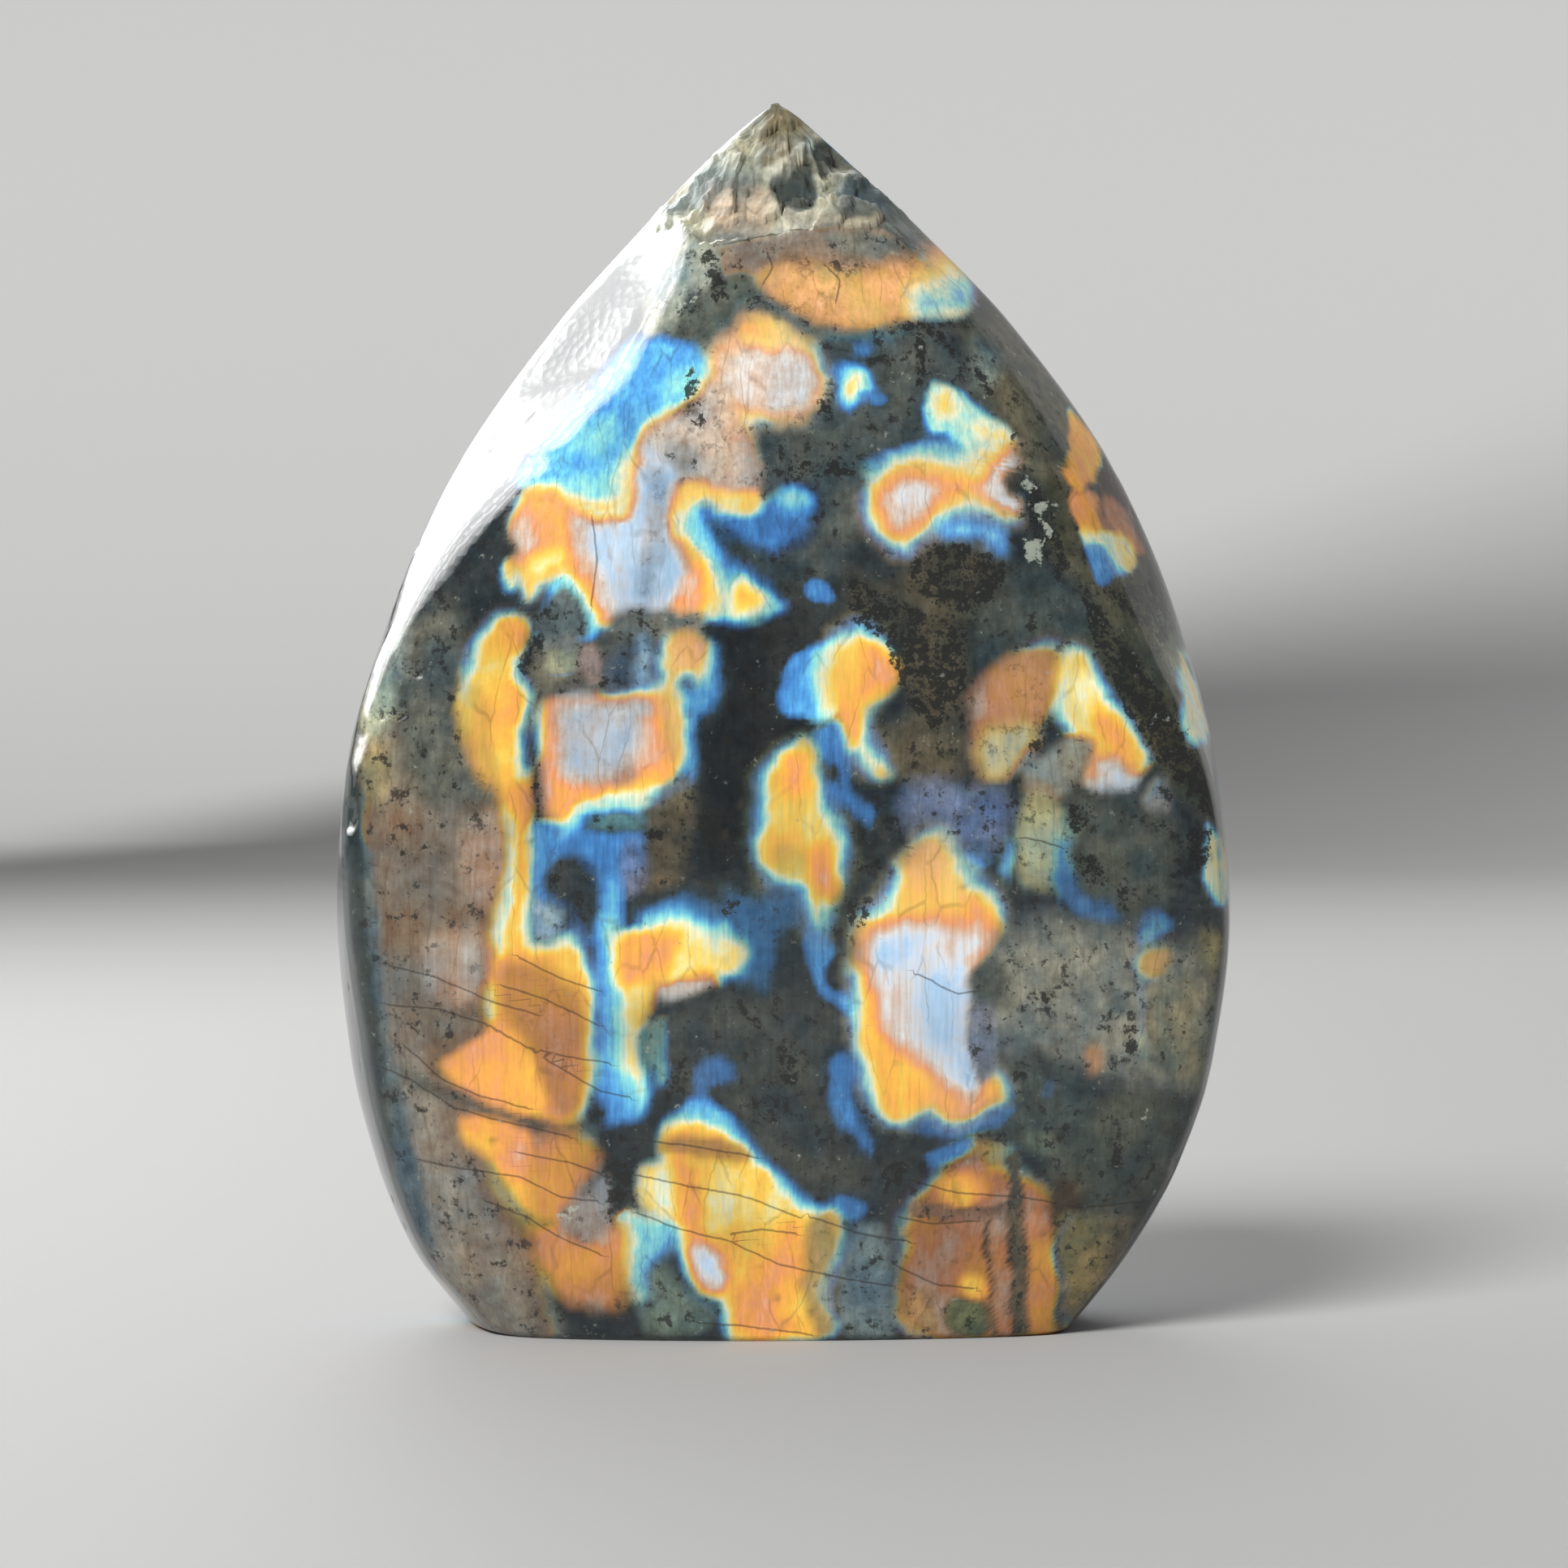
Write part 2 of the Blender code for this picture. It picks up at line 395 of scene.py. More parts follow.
NORTH = (
    Zone("brow amber", 0.66, 0.45, "#eebd92", 28, (
        (934, 342), (958, 326), (1010, 326), (1050, 340), (1090, 330), (1140, 312), (1165, 300),
        (1182, 322), (1200, 348), (1196, 372), (1180, 388), (1150, 384), (1120, 392), (1090, 398),
        (1050, 400), (1015, 396), (985, 384), (955, 368),
    ), fringe=0.5),
    Zone("brow lemon", LEMON, 0.85, None, 28, (
        (1122, 345), (1150, 326), (1176, 318), (1188, 345), (1186, 380), (1160, 385), (1130, 380),
    )),
    Zone("brow sky", 0.34, 0.85, None, 30, (
        (1116, 362), (1140, 352), (1150, 366), (1168, 340), (1196, 345), (1200, 368), (1182, 392),
        (1150, 394), (1120, 390),
    )),
    Zone("white eye", 0.58, 0.6, "#f0dcc4", 34, (
        (903, 414), (914, 398), (936, 386), (962, 394), (986, 406), (1002, 424), (1016, 446),
        (1016, 476), (1006, 502), (984, 520), (952, 526), (924, 520), (900, 508), (880, 490),
        (872, 462), (876, 438), (890, 420),
    ), fringe=0.45),
    Zone("eye flesh", PEARL, 0.5, "#f0d0b0", 24, (
        (876, 440), (905, 424), (935, 440), (965, 430), (1000, 440), (1012, 472), (998, 506),
        (955, 520), (910, 508), (880, 488),
    )),
    Zone("eye pearl", 0.93, 0.95, "#f8f2ea", 18, (
        (898, 446), (930, 430), (968, 426), (998, 446), (998, 480), (972, 500), (930, 502),
        (902, 484),
    )),
    Zone("eye gold", AMBER, 0.85, None, 20, (
        (912, 402), (945, 396), (966, 412), (955, 428), (920, 424),
    )),
    Zone("brow seam", None, 0.05, "#5b7076", 16, (
        (905, 385), (925, 366), (955, 368), (985, 386), (1015, 402), (1060, 406), (1120, 400),
        (1120, 416), (1060, 420), (1010, 418), (980, 402), (950, 388), (925, 384),
    )),
    Zone("eye tail", MAUVE, 0.3, "#dccab8", 28, (
        (858, 470), (885, 480), (915, 515), (928, 550), (936, 588), (928, 612), (905, 622),
        (888, 606), (870, 592), (845, 592), (812, 585), (790, 560), (800, 520), (830, 505),
        (862, 520),
    ), fringe=0.25),
    Zone("eye tail shade", None, 0.1, "#a0a2a2", 28, (
        (805, 555), (840, 540), (872, 555), (855, 588), (818, 588),
    )),
    Zone("eye tail rim", GOLD, 0.8, None, 19, (
        (880, 598), (905, 606), (930, 600), (938, 615), (915, 632), (890, 626),
    )),
    Zone("drop halo", AZURE, 0.85, None, 23, (
        (1032, 452), (1048, 440), (1062, 448), (1078, 468), (1084, 480), (1070, 494), (1062, 508),
        (1048, 518), (1036, 508), (1034, 486), (1026, 466),
    )),
    Zone("drop", CORN, 0.95, None, 23, (
        (1044, 472), (1055, 454), (1070, 456), (1073, 482), (1062, 500), (1048, 502), (1041, 488),
    )),
    Zone("drop crest", COBALT, 0.6, None, 18, (
        (1048, 430), (1064, 420), (1082, 427), (1080, 441), (1060, 443),
    )),
    Zone("drop spark", COBALT, 0.7, None, 14, (
        (1070, 488), (1096, 484), (1098, 500), (1076, 504),
    )),
    Zone("east aqua", 0.38, 0.85, None, 20, (
        (1142, 470), (1160, 476), (1185, 485), (1215, 510), (1235, 530), (1242, 548), (1215, 550),
        (1200, 556), (1175, 550), (1162, 538), (1142, 535), (1138, 510),
    )),
    Zone("east aqua heart", 0.5, 0.85, None, 23, (
        (1154, 488), (1170, 484), (1182, 500), (1172, 514), (1156, 510),
    )),
    Zone("east aqua tail", 0.46, 0.85, None, 20, (
        (1192, 520), (1214, 518), (1240, 538), (1236, 550), (1205, 545),
    )),
    Zone("arch sky", COBALT, 0.45, None, 14, (
        (1060, 592), (1066, 566), (1085, 553), (1110, 545), (1150, 538), (1190, 548), (1150, 562),
        (1105, 574), (1080, 592),
    )),
    Zone("arch", 0.58, 0.65, "#cdb49c", 34, (
        (1062, 620), (1068, 598), (1085, 576), (1105, 562), (1135, 556), (1175, 556), (1210, 545),
        (1235, 545), (1246, 560), (1240, 582), (1228, 592), (1222, 606), (1238, 615), (1256, 630),
        (1254, 648), (1235, 652), (1212, 640), (1192, 632), (1170, 640), (1152, 652), (1142, 665),
        (1126, 682), (1108, 682), (1092, 670), (1078, 660), (1066, 645),
    )),
    Zone("arch rose", MAUVE, 0.85, None, 30, (
        (1082, 605), (1100, 588), (1125, 586), (1150, 594), (1168, 604), (1152, 622), (1136, 640),
        (1126, 658), (1104, 662), (1088, 646), (1078, 626),
    )),
    Zone("arch salmon", COPPER, 0.85, None, 23, (
        (1140, 584), (1200, 580), (1208, 604), (1160, 616),
    )),
    Zone("arch pearl", PEARL, 0.85, "#c9c0bb", 18, (
        (1204, 602), (1220, 578), (1236, 562), (1248, 574), (1234, 592), (1242, 612), (1264, 620),
        (1260, 634), (1240, 628), (1216, 614),
    ), fringe=0.3),
    Zone("arch grey", None, 0.0, "#58554f", 12, (
        (1238, 590), (1256, 578), (1266, 596), (1256, 608), (1242, 604),
    )),
    Zone("east lake", SKY, 0.85, "#8fa9b8", 20, (
        (1148, 648), (1168, 638), (1200, 638), (1218, 652), (1238, 656), (1250, 670), (1240, 686),
        (1220, 676), (1205, 664), (1180, 664), (1162, 660),
    )),
    Zone("pocket", COBALT, 0.6, "#35568c", 27, (
        (850, 640), (868, 622), (893, 628), (920, 632), (945, 616), (965, 600), (985, 596),
        (1006, 610), (1002, 640), (990, 662), (965, 682), (940, 686), (915, 670), (890, 660),
        (885, 700), (865, 680),
    )),
    Zone("pocket crest", AQUA, 0.7, None, 25, (
        (955, 606), (978, 596), (1004, 606), (1002, 628), (980, 634), (960, 630),
    )),
    Zone("pocket night", None, 0.2, "#39474c", 18, (
        (868, 640), (890, 640), (910, 655), (960, 690), (1000, 690), (985, 712), (940, 705),
        (900, 690), (876, 668),
    )),
    Zone("pocket cliff", AQUA, 0.9, None, 20, (
        (846, 632), (862, 620), (872, 640), (878, 668), (890, 692), (878, 700), (862, 682),
        (846, 660),
    )),
    Zone("triangle", 0.35, 0.62, None, 23, (
        (880, 690), (905, 690), (935, 705), (960, 735), (972, 752), (945, 762), (900, 768),
        (872, 768), (868, 740),
    )),
    Zone("triangle core", 0.72, 1.0, None, 30, (
        (896, 724), (914, 714), (932, 728), (936, 745), (918, 757), (900, 753),
    )),
    Zone("triangle moss", GOLD, 0.6, "#8c8248", 18, (
        (868, 728), (890, 724), (892, 758), (870, 762),
    )),
    Zone("diamond", COBALT, 0.75, None, 12, (
        (986, 720), (1010, 710), (1024, 725), (1030, 747), (1005, 747), (988, 736),
    )),
    Zone("bevel amber", 0.67, 1.0, None, 12, (
        (1312, 505), (1330, 525), (1345, 540), (1354, 556), (1346, 575), (1342, 592), (1335, 602),
        (1318, 602), (1312, 580), (1312, 550), (1316, 530),
    ), fringe=0.2),
    Zone("bevel amber foot", ORANGE, 0.9, None, 12, (
        (1318, 608), (1332, 600), (1346, 612), (1354, 636), (1362, 656), (1345, 658), (1330, 646),
        (1320, 630),
    ), fringe=0.2),
    Zone("bevel rust", COPPER, 0.5, "#6b432c", 18, (
        (1352, 610), (1375, 615), (1402, 655), (1408, 690), (1385, 672), (1362, 650),
    ), fringe=0.0),
    Zone("bevel cream", LEMON, 0.85, "#c8c3a4", 14, (
        (1332, 648), (1360, 655), (1388, 662), (1400, 680), (1397, 702), (1380, 706), (1368, 690),
        (1350, 672), (1334, 668),
    )),
    Zone("bevel blue", AZURE, 0.8, None, 14, (
        (1334, 666), (1355, 674), (1370, 692), (1378, 706), (1364, 720), (1350, 712), (1340, 692),
    )),
)

WEST = (
    Zone("west pearl", 0.92, 0.7, "#a8aaae", 30, (
        (640, 604), (700, 600), (738, 606), (766, 598), (778, 560), (800, 545), (832, 590),
        (830, 660), (850, 700), (850, 740), (825, 765), (780, 758), (745, 765), (720, 735),
        (700, 705), (668, 715), (650, 745), (640, 700), (648, 650),
    ), fringe=0.5),
    Zone("pearl snow", ICE, 0.75, "#d9dde2", 30, (
        (735, 650), (770, 640), (800, 640), (800, 680), (785, 712), (740, 712), (728, 690),
    )),
    Zone("pearl dusk", LAVENDER, 0.35, "#8b97a5", 30, (
        (798, 570), (822, 590), (824, 660), (818, 730), (792, 745), (790, 690), (800, 640),
    )),
    Zone("west blaze", 0.68, 0.85, "#d8c8b0", 31, (
        (636, 612), (690, 598), (705, 622), (712, 660), (725, 700), (748, 735), (756, 770),
        (736, 766), (712, 720), (695, 700), (672, 712), (652, 738), (640, 700), (640, 650),
    )),
    Zone("west blaze haze", MAUVE, 0.9, None, 25, (
        (640, 630), (656, 625), (660, 660), (650, 680), (638, 670),
    )),
    Zone("west blaze corn", CORN, 0.95, None, 25, (
        (652, 686), (690, 676), (705, 695), (690, 708), (660, 712),
    )),
    Zone("shoulder blue", 0.29, 0.95, None, 23, (
        (800, 415), (838, 416), (862, 434), (870, 448), (862, 480), (846, 505), (812, 512),
        (796, 530), (782, 560), (772, 590), (766, 612), (738, 610), (712, 616), (690, 600),
        (640, 602), (630, 580), (672, 535), (715, 490), (755, 445), (775, 420),
    )),
    Zone("shoulder aqua", AQUA, 0.9, None, 25, (
        (842, 445), (866, 452), (855, 485), (832, 498), (815, 490), (820, 470),
    )),
    Zone("shoulder shallows", AQUA, 0.9, None, 31, (
        (700, 545), (745, 510), (762, 520), (750, 548), (720, 555),
    )),
    Zone("shoulder foam", AQUA, 0.9, None, 25, (
        (690, 592), (730, 584), (766, 580), (764, 612), (735, 618), (700, 618),
    )),
    Zone("pearl seam", 0.51, 0.7, "#d8d0ba", 20, (
        (762, 562), (776, 556), (782, 600), (778, 640), (740, 640), (705, 628), (700, 612),
        (735, 620), (764, 612),
    )),
    Zone("pearl rim", 0.57, 0.7, "#cdbf9e", 25, (
        (832, 600), (858, 590), (900, 604), (938, 618), (932, 632), (896, 626), (868, 612),
        (846, 632), (848, 664), (870, 690), (886, 712), (880, 745), (870, 768), (838, 770),
        (834, 740), (856, 720), (850, 692), (832, 660), (826, 628),
    )),
    Zone("pearl rim blush", ORANGE, 1.0, None, 23, (
        (852, 700), (872, 690), (872, 730), (856, 765), (836, 770), (836, 740),
    )),
    Zone("west ember", ORANGE, 0.8, None, 21, (
        (622, 690), (634, 688), (636, 725), (622, 735), (616, 715),
    )),
    Zone("teal pocket", 0.34, 0.9, "#65757a", 20, (
        (680, 716), (700, 706), (720, 722), (736, 755), (735, 780), (700, 795), (660, 792),
        (662, 765), (678, 742),
    )),
    Zone("teal pocket shade", None, 0.0, "#627074", 18, (
        (684, 735), (704, 728), (722, 752), (722, 785), (668, 792), (650, 775),
    )),
    Zone("west smoke", None, 0.0, "#86847a", 20, (
        (752, 762), (800, 752), (870, 752), (868, 776), (800, 782), (752, 785),
    ), fringe=0.0),
    Zone("west gold", 0.65, 0.85, "#8a6a3c", 31, (
        (610, 758), (632, 756), (645, 772), (642, 800), (636, 832), (652, 856), (654, 880),
        (646, 905), (644, 940), (648, 980), (650, 1040), (650, 1090), (650, 1140), (658, 1168),
        (676, 1168), (692, 1150), (708, 1152), (724, 1176), (736, 1215), (736, 1290),
        (730, 1350), (700, 1385), (650, 1370), (600, 1290), (604, 1200), (614, 1120),
        (628, 1050), (622, 990), (604, 950), (586, 900), (562, 860), (582, 800),
    )),
    Zone("west gold core", 0.65, 1.0, None, 31, (
        (600, 850), (632, 850), (634, 960), (625, 985), (605, 940),
    )),
    Zone("west gold haze", AMBER, 0.5, "#a08a5c", 30, (
        (560, 850), (590, 840), (606, 900), (616, 960), (600, 980), (580, 930),
    ), fringe=0.0),
    Zone("amber shade", 0.74, 0.45, "#7a5836", 41, (
        (620, 1180), (680, 1195), (725, 1250), (730, 1330), (712, 1385), (665, 1360),
        (640, 1270), (612, 1240),
    )),
    Zone("amber wing", 0.68, 1.0, None, 25, (
        (540, 1308), (570, 1296), (600, 1270), (635, 1272), (655, 1300), (660, 1338), (668, 1362),
        (650, 1372), (600, 1358), (562, 1340),
    ), fringe=0.1),
    Zone("amber feather", AMBER, 0.95, None, 25, (
        (555, 1378), (605, 1376), (650, 1392), (660, 1430), (690, 1470), (690, 1500), (655, 1505),
        (625, 1470), (590, 1420),
    ), fringe=0.1),
    Zone("foot gold", 0.7, 0.6, "#8c6438", 41, (
        (650, 1400), (720, 1400), (735, 1430), (700, 1480), (750, 1505), (778, 1520), (782, 1560),
        (772, 1592), (748, 1612), (712, 1608), (682, 1585), (662, 1540), (650, 1490),
    ), fringe=0.4),
    Zone("west slit", AZURE, 0.9, None, 23, (
        (734, 1160), (752, 1155), (760, 1200), (768, 1260), (772, 1320), (785, 1372), (768, 1395),
        (745, 1390), (738, 1330), (738, 1240),
    )),
    Zone("field crust", None, 0.0, "#6b6a62", 14, (
        (655, 790), (700, 790), (740, 785), (785, 790), (788, 860), (740, 866), (690, 872),
        (668, 862), (655, 840),
    )),
    Zone("field crust aqua", None, 0.6, "#a9ad94", 14, (
        (680, 800), (705, 796), (712, 812), (705, 832), (672, 828),
    )),
    Zone("field crust slate", None, 0.0, "#5a6470", 14, (
        (745, 795), (780, 790), (784, 860), (748, 862),
    )),
    Zone("crust rose", None, 0.0, "#a89088", 8, (
        (716, 794), (732, 786), (742, 806), (746, 828), (738, 844), (722, 838), (712, 814),
    )),
    Zone("crust ash", None, 0.0, "#7d8484", 10, (
        (668, 784), (700, 780), (716, 790), (700, 802), (672, 806), (660, 798),
    )),
    Zone("field lavender", None, 0.1, "#b4cde0", 18, (
        (786, 782), (806, 778), (812, 860), (786, 868),
    ), fringe=0.1),
    Zone("west lake", COBALT, 0.85, None, 31, (
        (652, 1012), (690, 1022), (712, 990), (760, 985), (792, 990), (788, 1050), (778, 1085),
        (760, 1150), (735, 1165), (712, 1145), (690, 1112), (662, 1110), (654, 1060),
    )),
    Zone("lake isle", None, 0.0, "#3c4548", 25, (
        (668, 1062), (695, 1045), (725, 1060), (738, 1100), (738, 1145), (718, 1150), (700, 1118),
        (672, 1100),
    )),
    Zone("lake shelf", NIGHT, 0.1, "#70a0a8", 14, (
        (718, 1008), (760, 1000), (798, 996), (796, 1020), (770, 1030), (720, 1028),
    )),
    Zone("lake glint", AQUA, 0.8, None, 18, (
        (706, 998), (740, 988), (795, 980), (798, 992), (750, 1002), (710, 1008),
    )),
    Zone("lake lavender", None, 0.3, "#97a0c4", 23, (
        (758, 1050), (778, 1034), (790, 1050), (788, 1100), (770, 1100),
    ), fringe=0.1),
    Zone("lake east", SKY, 0.9, None, 25, (
        (742, 1078), (768, 1080), (774, 1120), (762, 1158), (744, 1152),
    )),
    Zone("notch", None, 0.2, "#b9d3df", 20, (
        (654, 1112), (676, 1110), (690, 1126), (686, 1150), (664, 1160),
    )),
    Zone("pearl field", AMBER, 0.95, "#a29a98", 35, (
        (664, 880), (700, 862), (760, 856), (828, 850), (842, 890), (840, 950), (815, 980),
        (770, 990), (722, 984), (706, 1000), (696, 1022), (680, 1008), (672, 950),
    ), fringe=0.7),
    Zone("field heart", 0.93, 0.45, "#9c9ca0", 35, (
        (682, 880), (720, 862), (800, 856), (815, 880), (792, 900), (788, 945), (765, 966),
        (715, 966), (690, 945),
    )),
    Zone("field shade", None, 0.35, "#8a8484", 24, (
        (740, 935), (785, 930), (790, 965), (750, 972),
    )),
    Zone("field rose", COPPER, 0.95, None, 30, (
        (800, 880), (832, 868), (834, 930), (805, 955), (788, 935),
    )),
    Zone("hook sky", AZURE, 0.6, "#45606c", 23, (
        (835, 865), (842, 845), (858, 850), (872, 838), (872, 790), (886, 800), (896, 835),
        (892, 858), (875, 876), (856, 884), (856, 930), (852, 970), (838, 970), (838, 900),
    )),
    Zone("hook", AMBER, 0.55, "#c4b59a", 27, (
        (812, 790), (835, 778), (856, 784), (870, 805), (874, 836), (862, 842), (848, 832),
        (838, 845), (836, 870), (840, 900), (836, 940), (818, 942), (812, 880), (818, 830),
    )),
    Zone("hook foot", None, 0.2, "#7d7763", 16, (
        (812, 965), (846, 960), (848, 985), (815, 1000),
    )),
)

CENTRE = (
    Zone("island", 0.58, 0.68, "#8f9263", 38, (
        (975, 915), (992, 912), (1005, 928), (1010, 970), (1024, 1005), (1044, 1035),
        (1050, 1065), (1032, 1090), (1020, 1130), (1008, 1158), (992, 1135), (975, 1095),
        (950, 1096), (936, 1070), (930, 1010), (934, 960), (950, 935),
    )),
    Zone("island ember", ORANGE, 1.0, None, 30, (
        (960, 930), (990, 925), (996, 975), (970, 982),
    )),
    Zone("island moss", None, 0.45, "#8f9763", 24, (
        (948, 1048), (984, 1040), (990, 1085), (955, 1090),
    )),
    Zone("island rust", 0.77, 0.75, "#8a5a30", 25, (
        (990, 1042), (1028, 1036), (1036, 1070), (1024, 1102), (1000, 1100),
    )),
    Zone("island tail", AZURE, 0.75, None, 14, (
        (990, 1130), (1010, 1148), (1027, 1160), (1022, 1185), (1012, 1200), (1038, 1225),
        (1062, 1250), (1045, 1257), (1018, 1232), (998, 1200), (992, 1170),
    )),
    Zone("island wash", COBALT, 0.35, "#34505c", 25, (
        (885, 1100), (905, 1096), (930, 1108), (955, 1098), (985, 1105), (988, 1135), (962, 1150),
        (946, 1220), (915, 1215), (905, 1160), (900, 1125),
    )),
    Zone("dart blue", AZURE, 1.0, None, 14, (
        (990, 798), (1015, 795), (1045, 782), (1040, 850), (1030, 880), (1010, 886), (985, 880),
        (962, 878), (957, 855), (966, 822),
    )),
    Zone("dart", 0.66, 0.85, "#b8a878", 41, (
        (1046, 775), (1063, 764), (1078, 772), (1096, 798), (1100, 830), (1085, 856),
        (1066, 878), (1072, 912), (1094, 935), (1090, 958), (1066, 945), (1046, 912),
        (1030, 885), (1014, 858), (1010, 825), (1022, 798),
    ), fringe=0.8),
    Zone("dart rust", 0.78, 1.0, None, 27, (
        (1052, 795), (1080, 785), (1096, 810), (1092, 845), (1066, 870), (1050, 850),
    )),
    Zone("bank blue", COBALT, 0.75, None, 20, (
        (1016, 890), (1035, 902), (1048, 930), (1052, 955), (1060, 978), (1040, 967), (1028, 945),
        (1012, 925), (1004, 905),
    )),
    Zone("blue bird", COBALT, 0.85, None, 18, (
        (1018, 960), (1036, 953), (1048, 975), (1062, 985), (1080, 998), (1082, 1016),
        (1068, 1022), (1048, 1002), (1030, 992), (1018, 980),
    )),
    Zone("blaze halo", COBALT, 0.38, "#38525a", 27, (
        (785, 1130), (810, 1105), (850, 1095), (888, 1110), (915, 1150), (925, 1200), (905, 1215),
        (905, 1165), (870, 1140), (830, 1112), (795, 1140),
    )),
    Zone("centre blaze", 0.53, 1.0, None, 35, (
        (752, 1152), (790, 1148), (798, 1130), (830, 1112), (862, 1135), (896, 1150), (908, 1178),
        (900, 1202), (860, 1204), (820, 1204), (795, 1230), (785, 1290), (800, 1345), (788, 1385),
        (770, 1350), (762, 1280), (755, 1210),
    )),
    Zone("blaze ember", 0.75, 1.0, None, 24, (
        (758, 1155), (800, 1148), (835, 1150), (830, 1185), (795, 1205), (765, 1220),
    )),
    Zone("blaze lemon", 0.46, 0.85, None, 23, (
        (872, 1148), (896, 1150), (910, 1178), (895, 1195), (876, 1180),
    )),
    Zone("blaze cream", MAUVE, 0.6, "#a59c84", 23, (
        (800, 1205), (850, 1198), (880, 1205), (850, 1222), (812, 1235),
    ), fringe=0.2),
    Zone("blaze drip", AQUA, 0.35, None, 14, (
        (798, 1262), (818, 1250), (830, 1280), (826, 1330), (808, 1350), (800, 1310),
    )),
    Zone("lavender field", None, 0.05, "#7887aa", 30, (
        (1115, 960), (1140, 965), (1165, 960), (1200, 975), (1240, 985), (1245, 1010),
        (1235, 1040), (1215, 1045), (1190, 1050), (1165, 1025), (1145, 1010), (1120, 1020),
        (1106, 1000),
    ), fringe=0.3),
    Zone("lavender spark", None, 0.8, "#5c86b0", 14, (
        (1188, 1046), (1212, 1042), (1218, 1062), (1195, 1066),
    )),
    Zone("heart", 0.64, 0.85, "#d8d0b0", 41, (
        (1150, 1022), (1172, 1042), (1200, 1075), (1228, 1112), (1228, 1140), (1205, 1172),
        (1184, 1205), (1196, 1262), (1220, 1320), (1242, 1348), (1205, 1374), (1172, 1384),
        (1148, 1362), (1125, 1370), (1102, 1392), (1066, 1358), (1052, 1300), (1052, 1180), (1056, 1132),
        (1082, 1112), (1098, 1080), (1125, 1045),
    )),
    Zone("heart gold", 0.61, 1.0, None, 34, (
        (1062, 1230), (1090, 1220), (1112, 1290), (1140, 1340), (1128, 1362), (1100, 1380),
        (1076, 1345),
    )),
    Zone("heart ember", COPPER, 1.0, None, 30, (
        (1195, 1095), (1218, 1108), (1222, 1140), (1200, 1152), (1186, 1125),
    )),
    Zone("heart pearl", PEARL, 1.0, "#b0b0b4", 30, (
        (1072, 1142), (1150, 1128), (1216, 1146), (1200, 1185), (1184, 1215), (1200, 1270),
        (1216, 1330), (1186, 1356), (1146, 1318), (1108, 1290), (1078, 1250), (1066, 1200),
    )),
    Zone("heart ice", ICE, 1.0, None, 45, (
        (1130, 1195), (1165, 1180), (1180, 1225), (1190, 1280), (1196, 1320), (1170, 1325),
        (1140, 1270),
    )),
    Zone("heart shadow", None, 0.0, "#545b57", 20, (
        (1184, 1202), (1215, 1185), (1242, 1195), (1248, 1232), (1216, 1252), (1196, 1240),
    ), fringe=0.0),
    Zone("heart dusk", None, 0.0, "#8d93a4", 12, (
        (1188, 1244), (1224, 1238), (1230, 1300), (1226, 1330), (1206, 1336), (1192, 1320),
    )),
    Zone("heart foot", COBALT, 0.45, None, 18, (
        (1118, 1396), (1140, 1372), (1160, 1382), (1185, 1392), (1215, 1377), (1240, 1362),
        (1248, 1376), (1215, 1394), (1180, 1402), (1140, 1397),
    )),
)

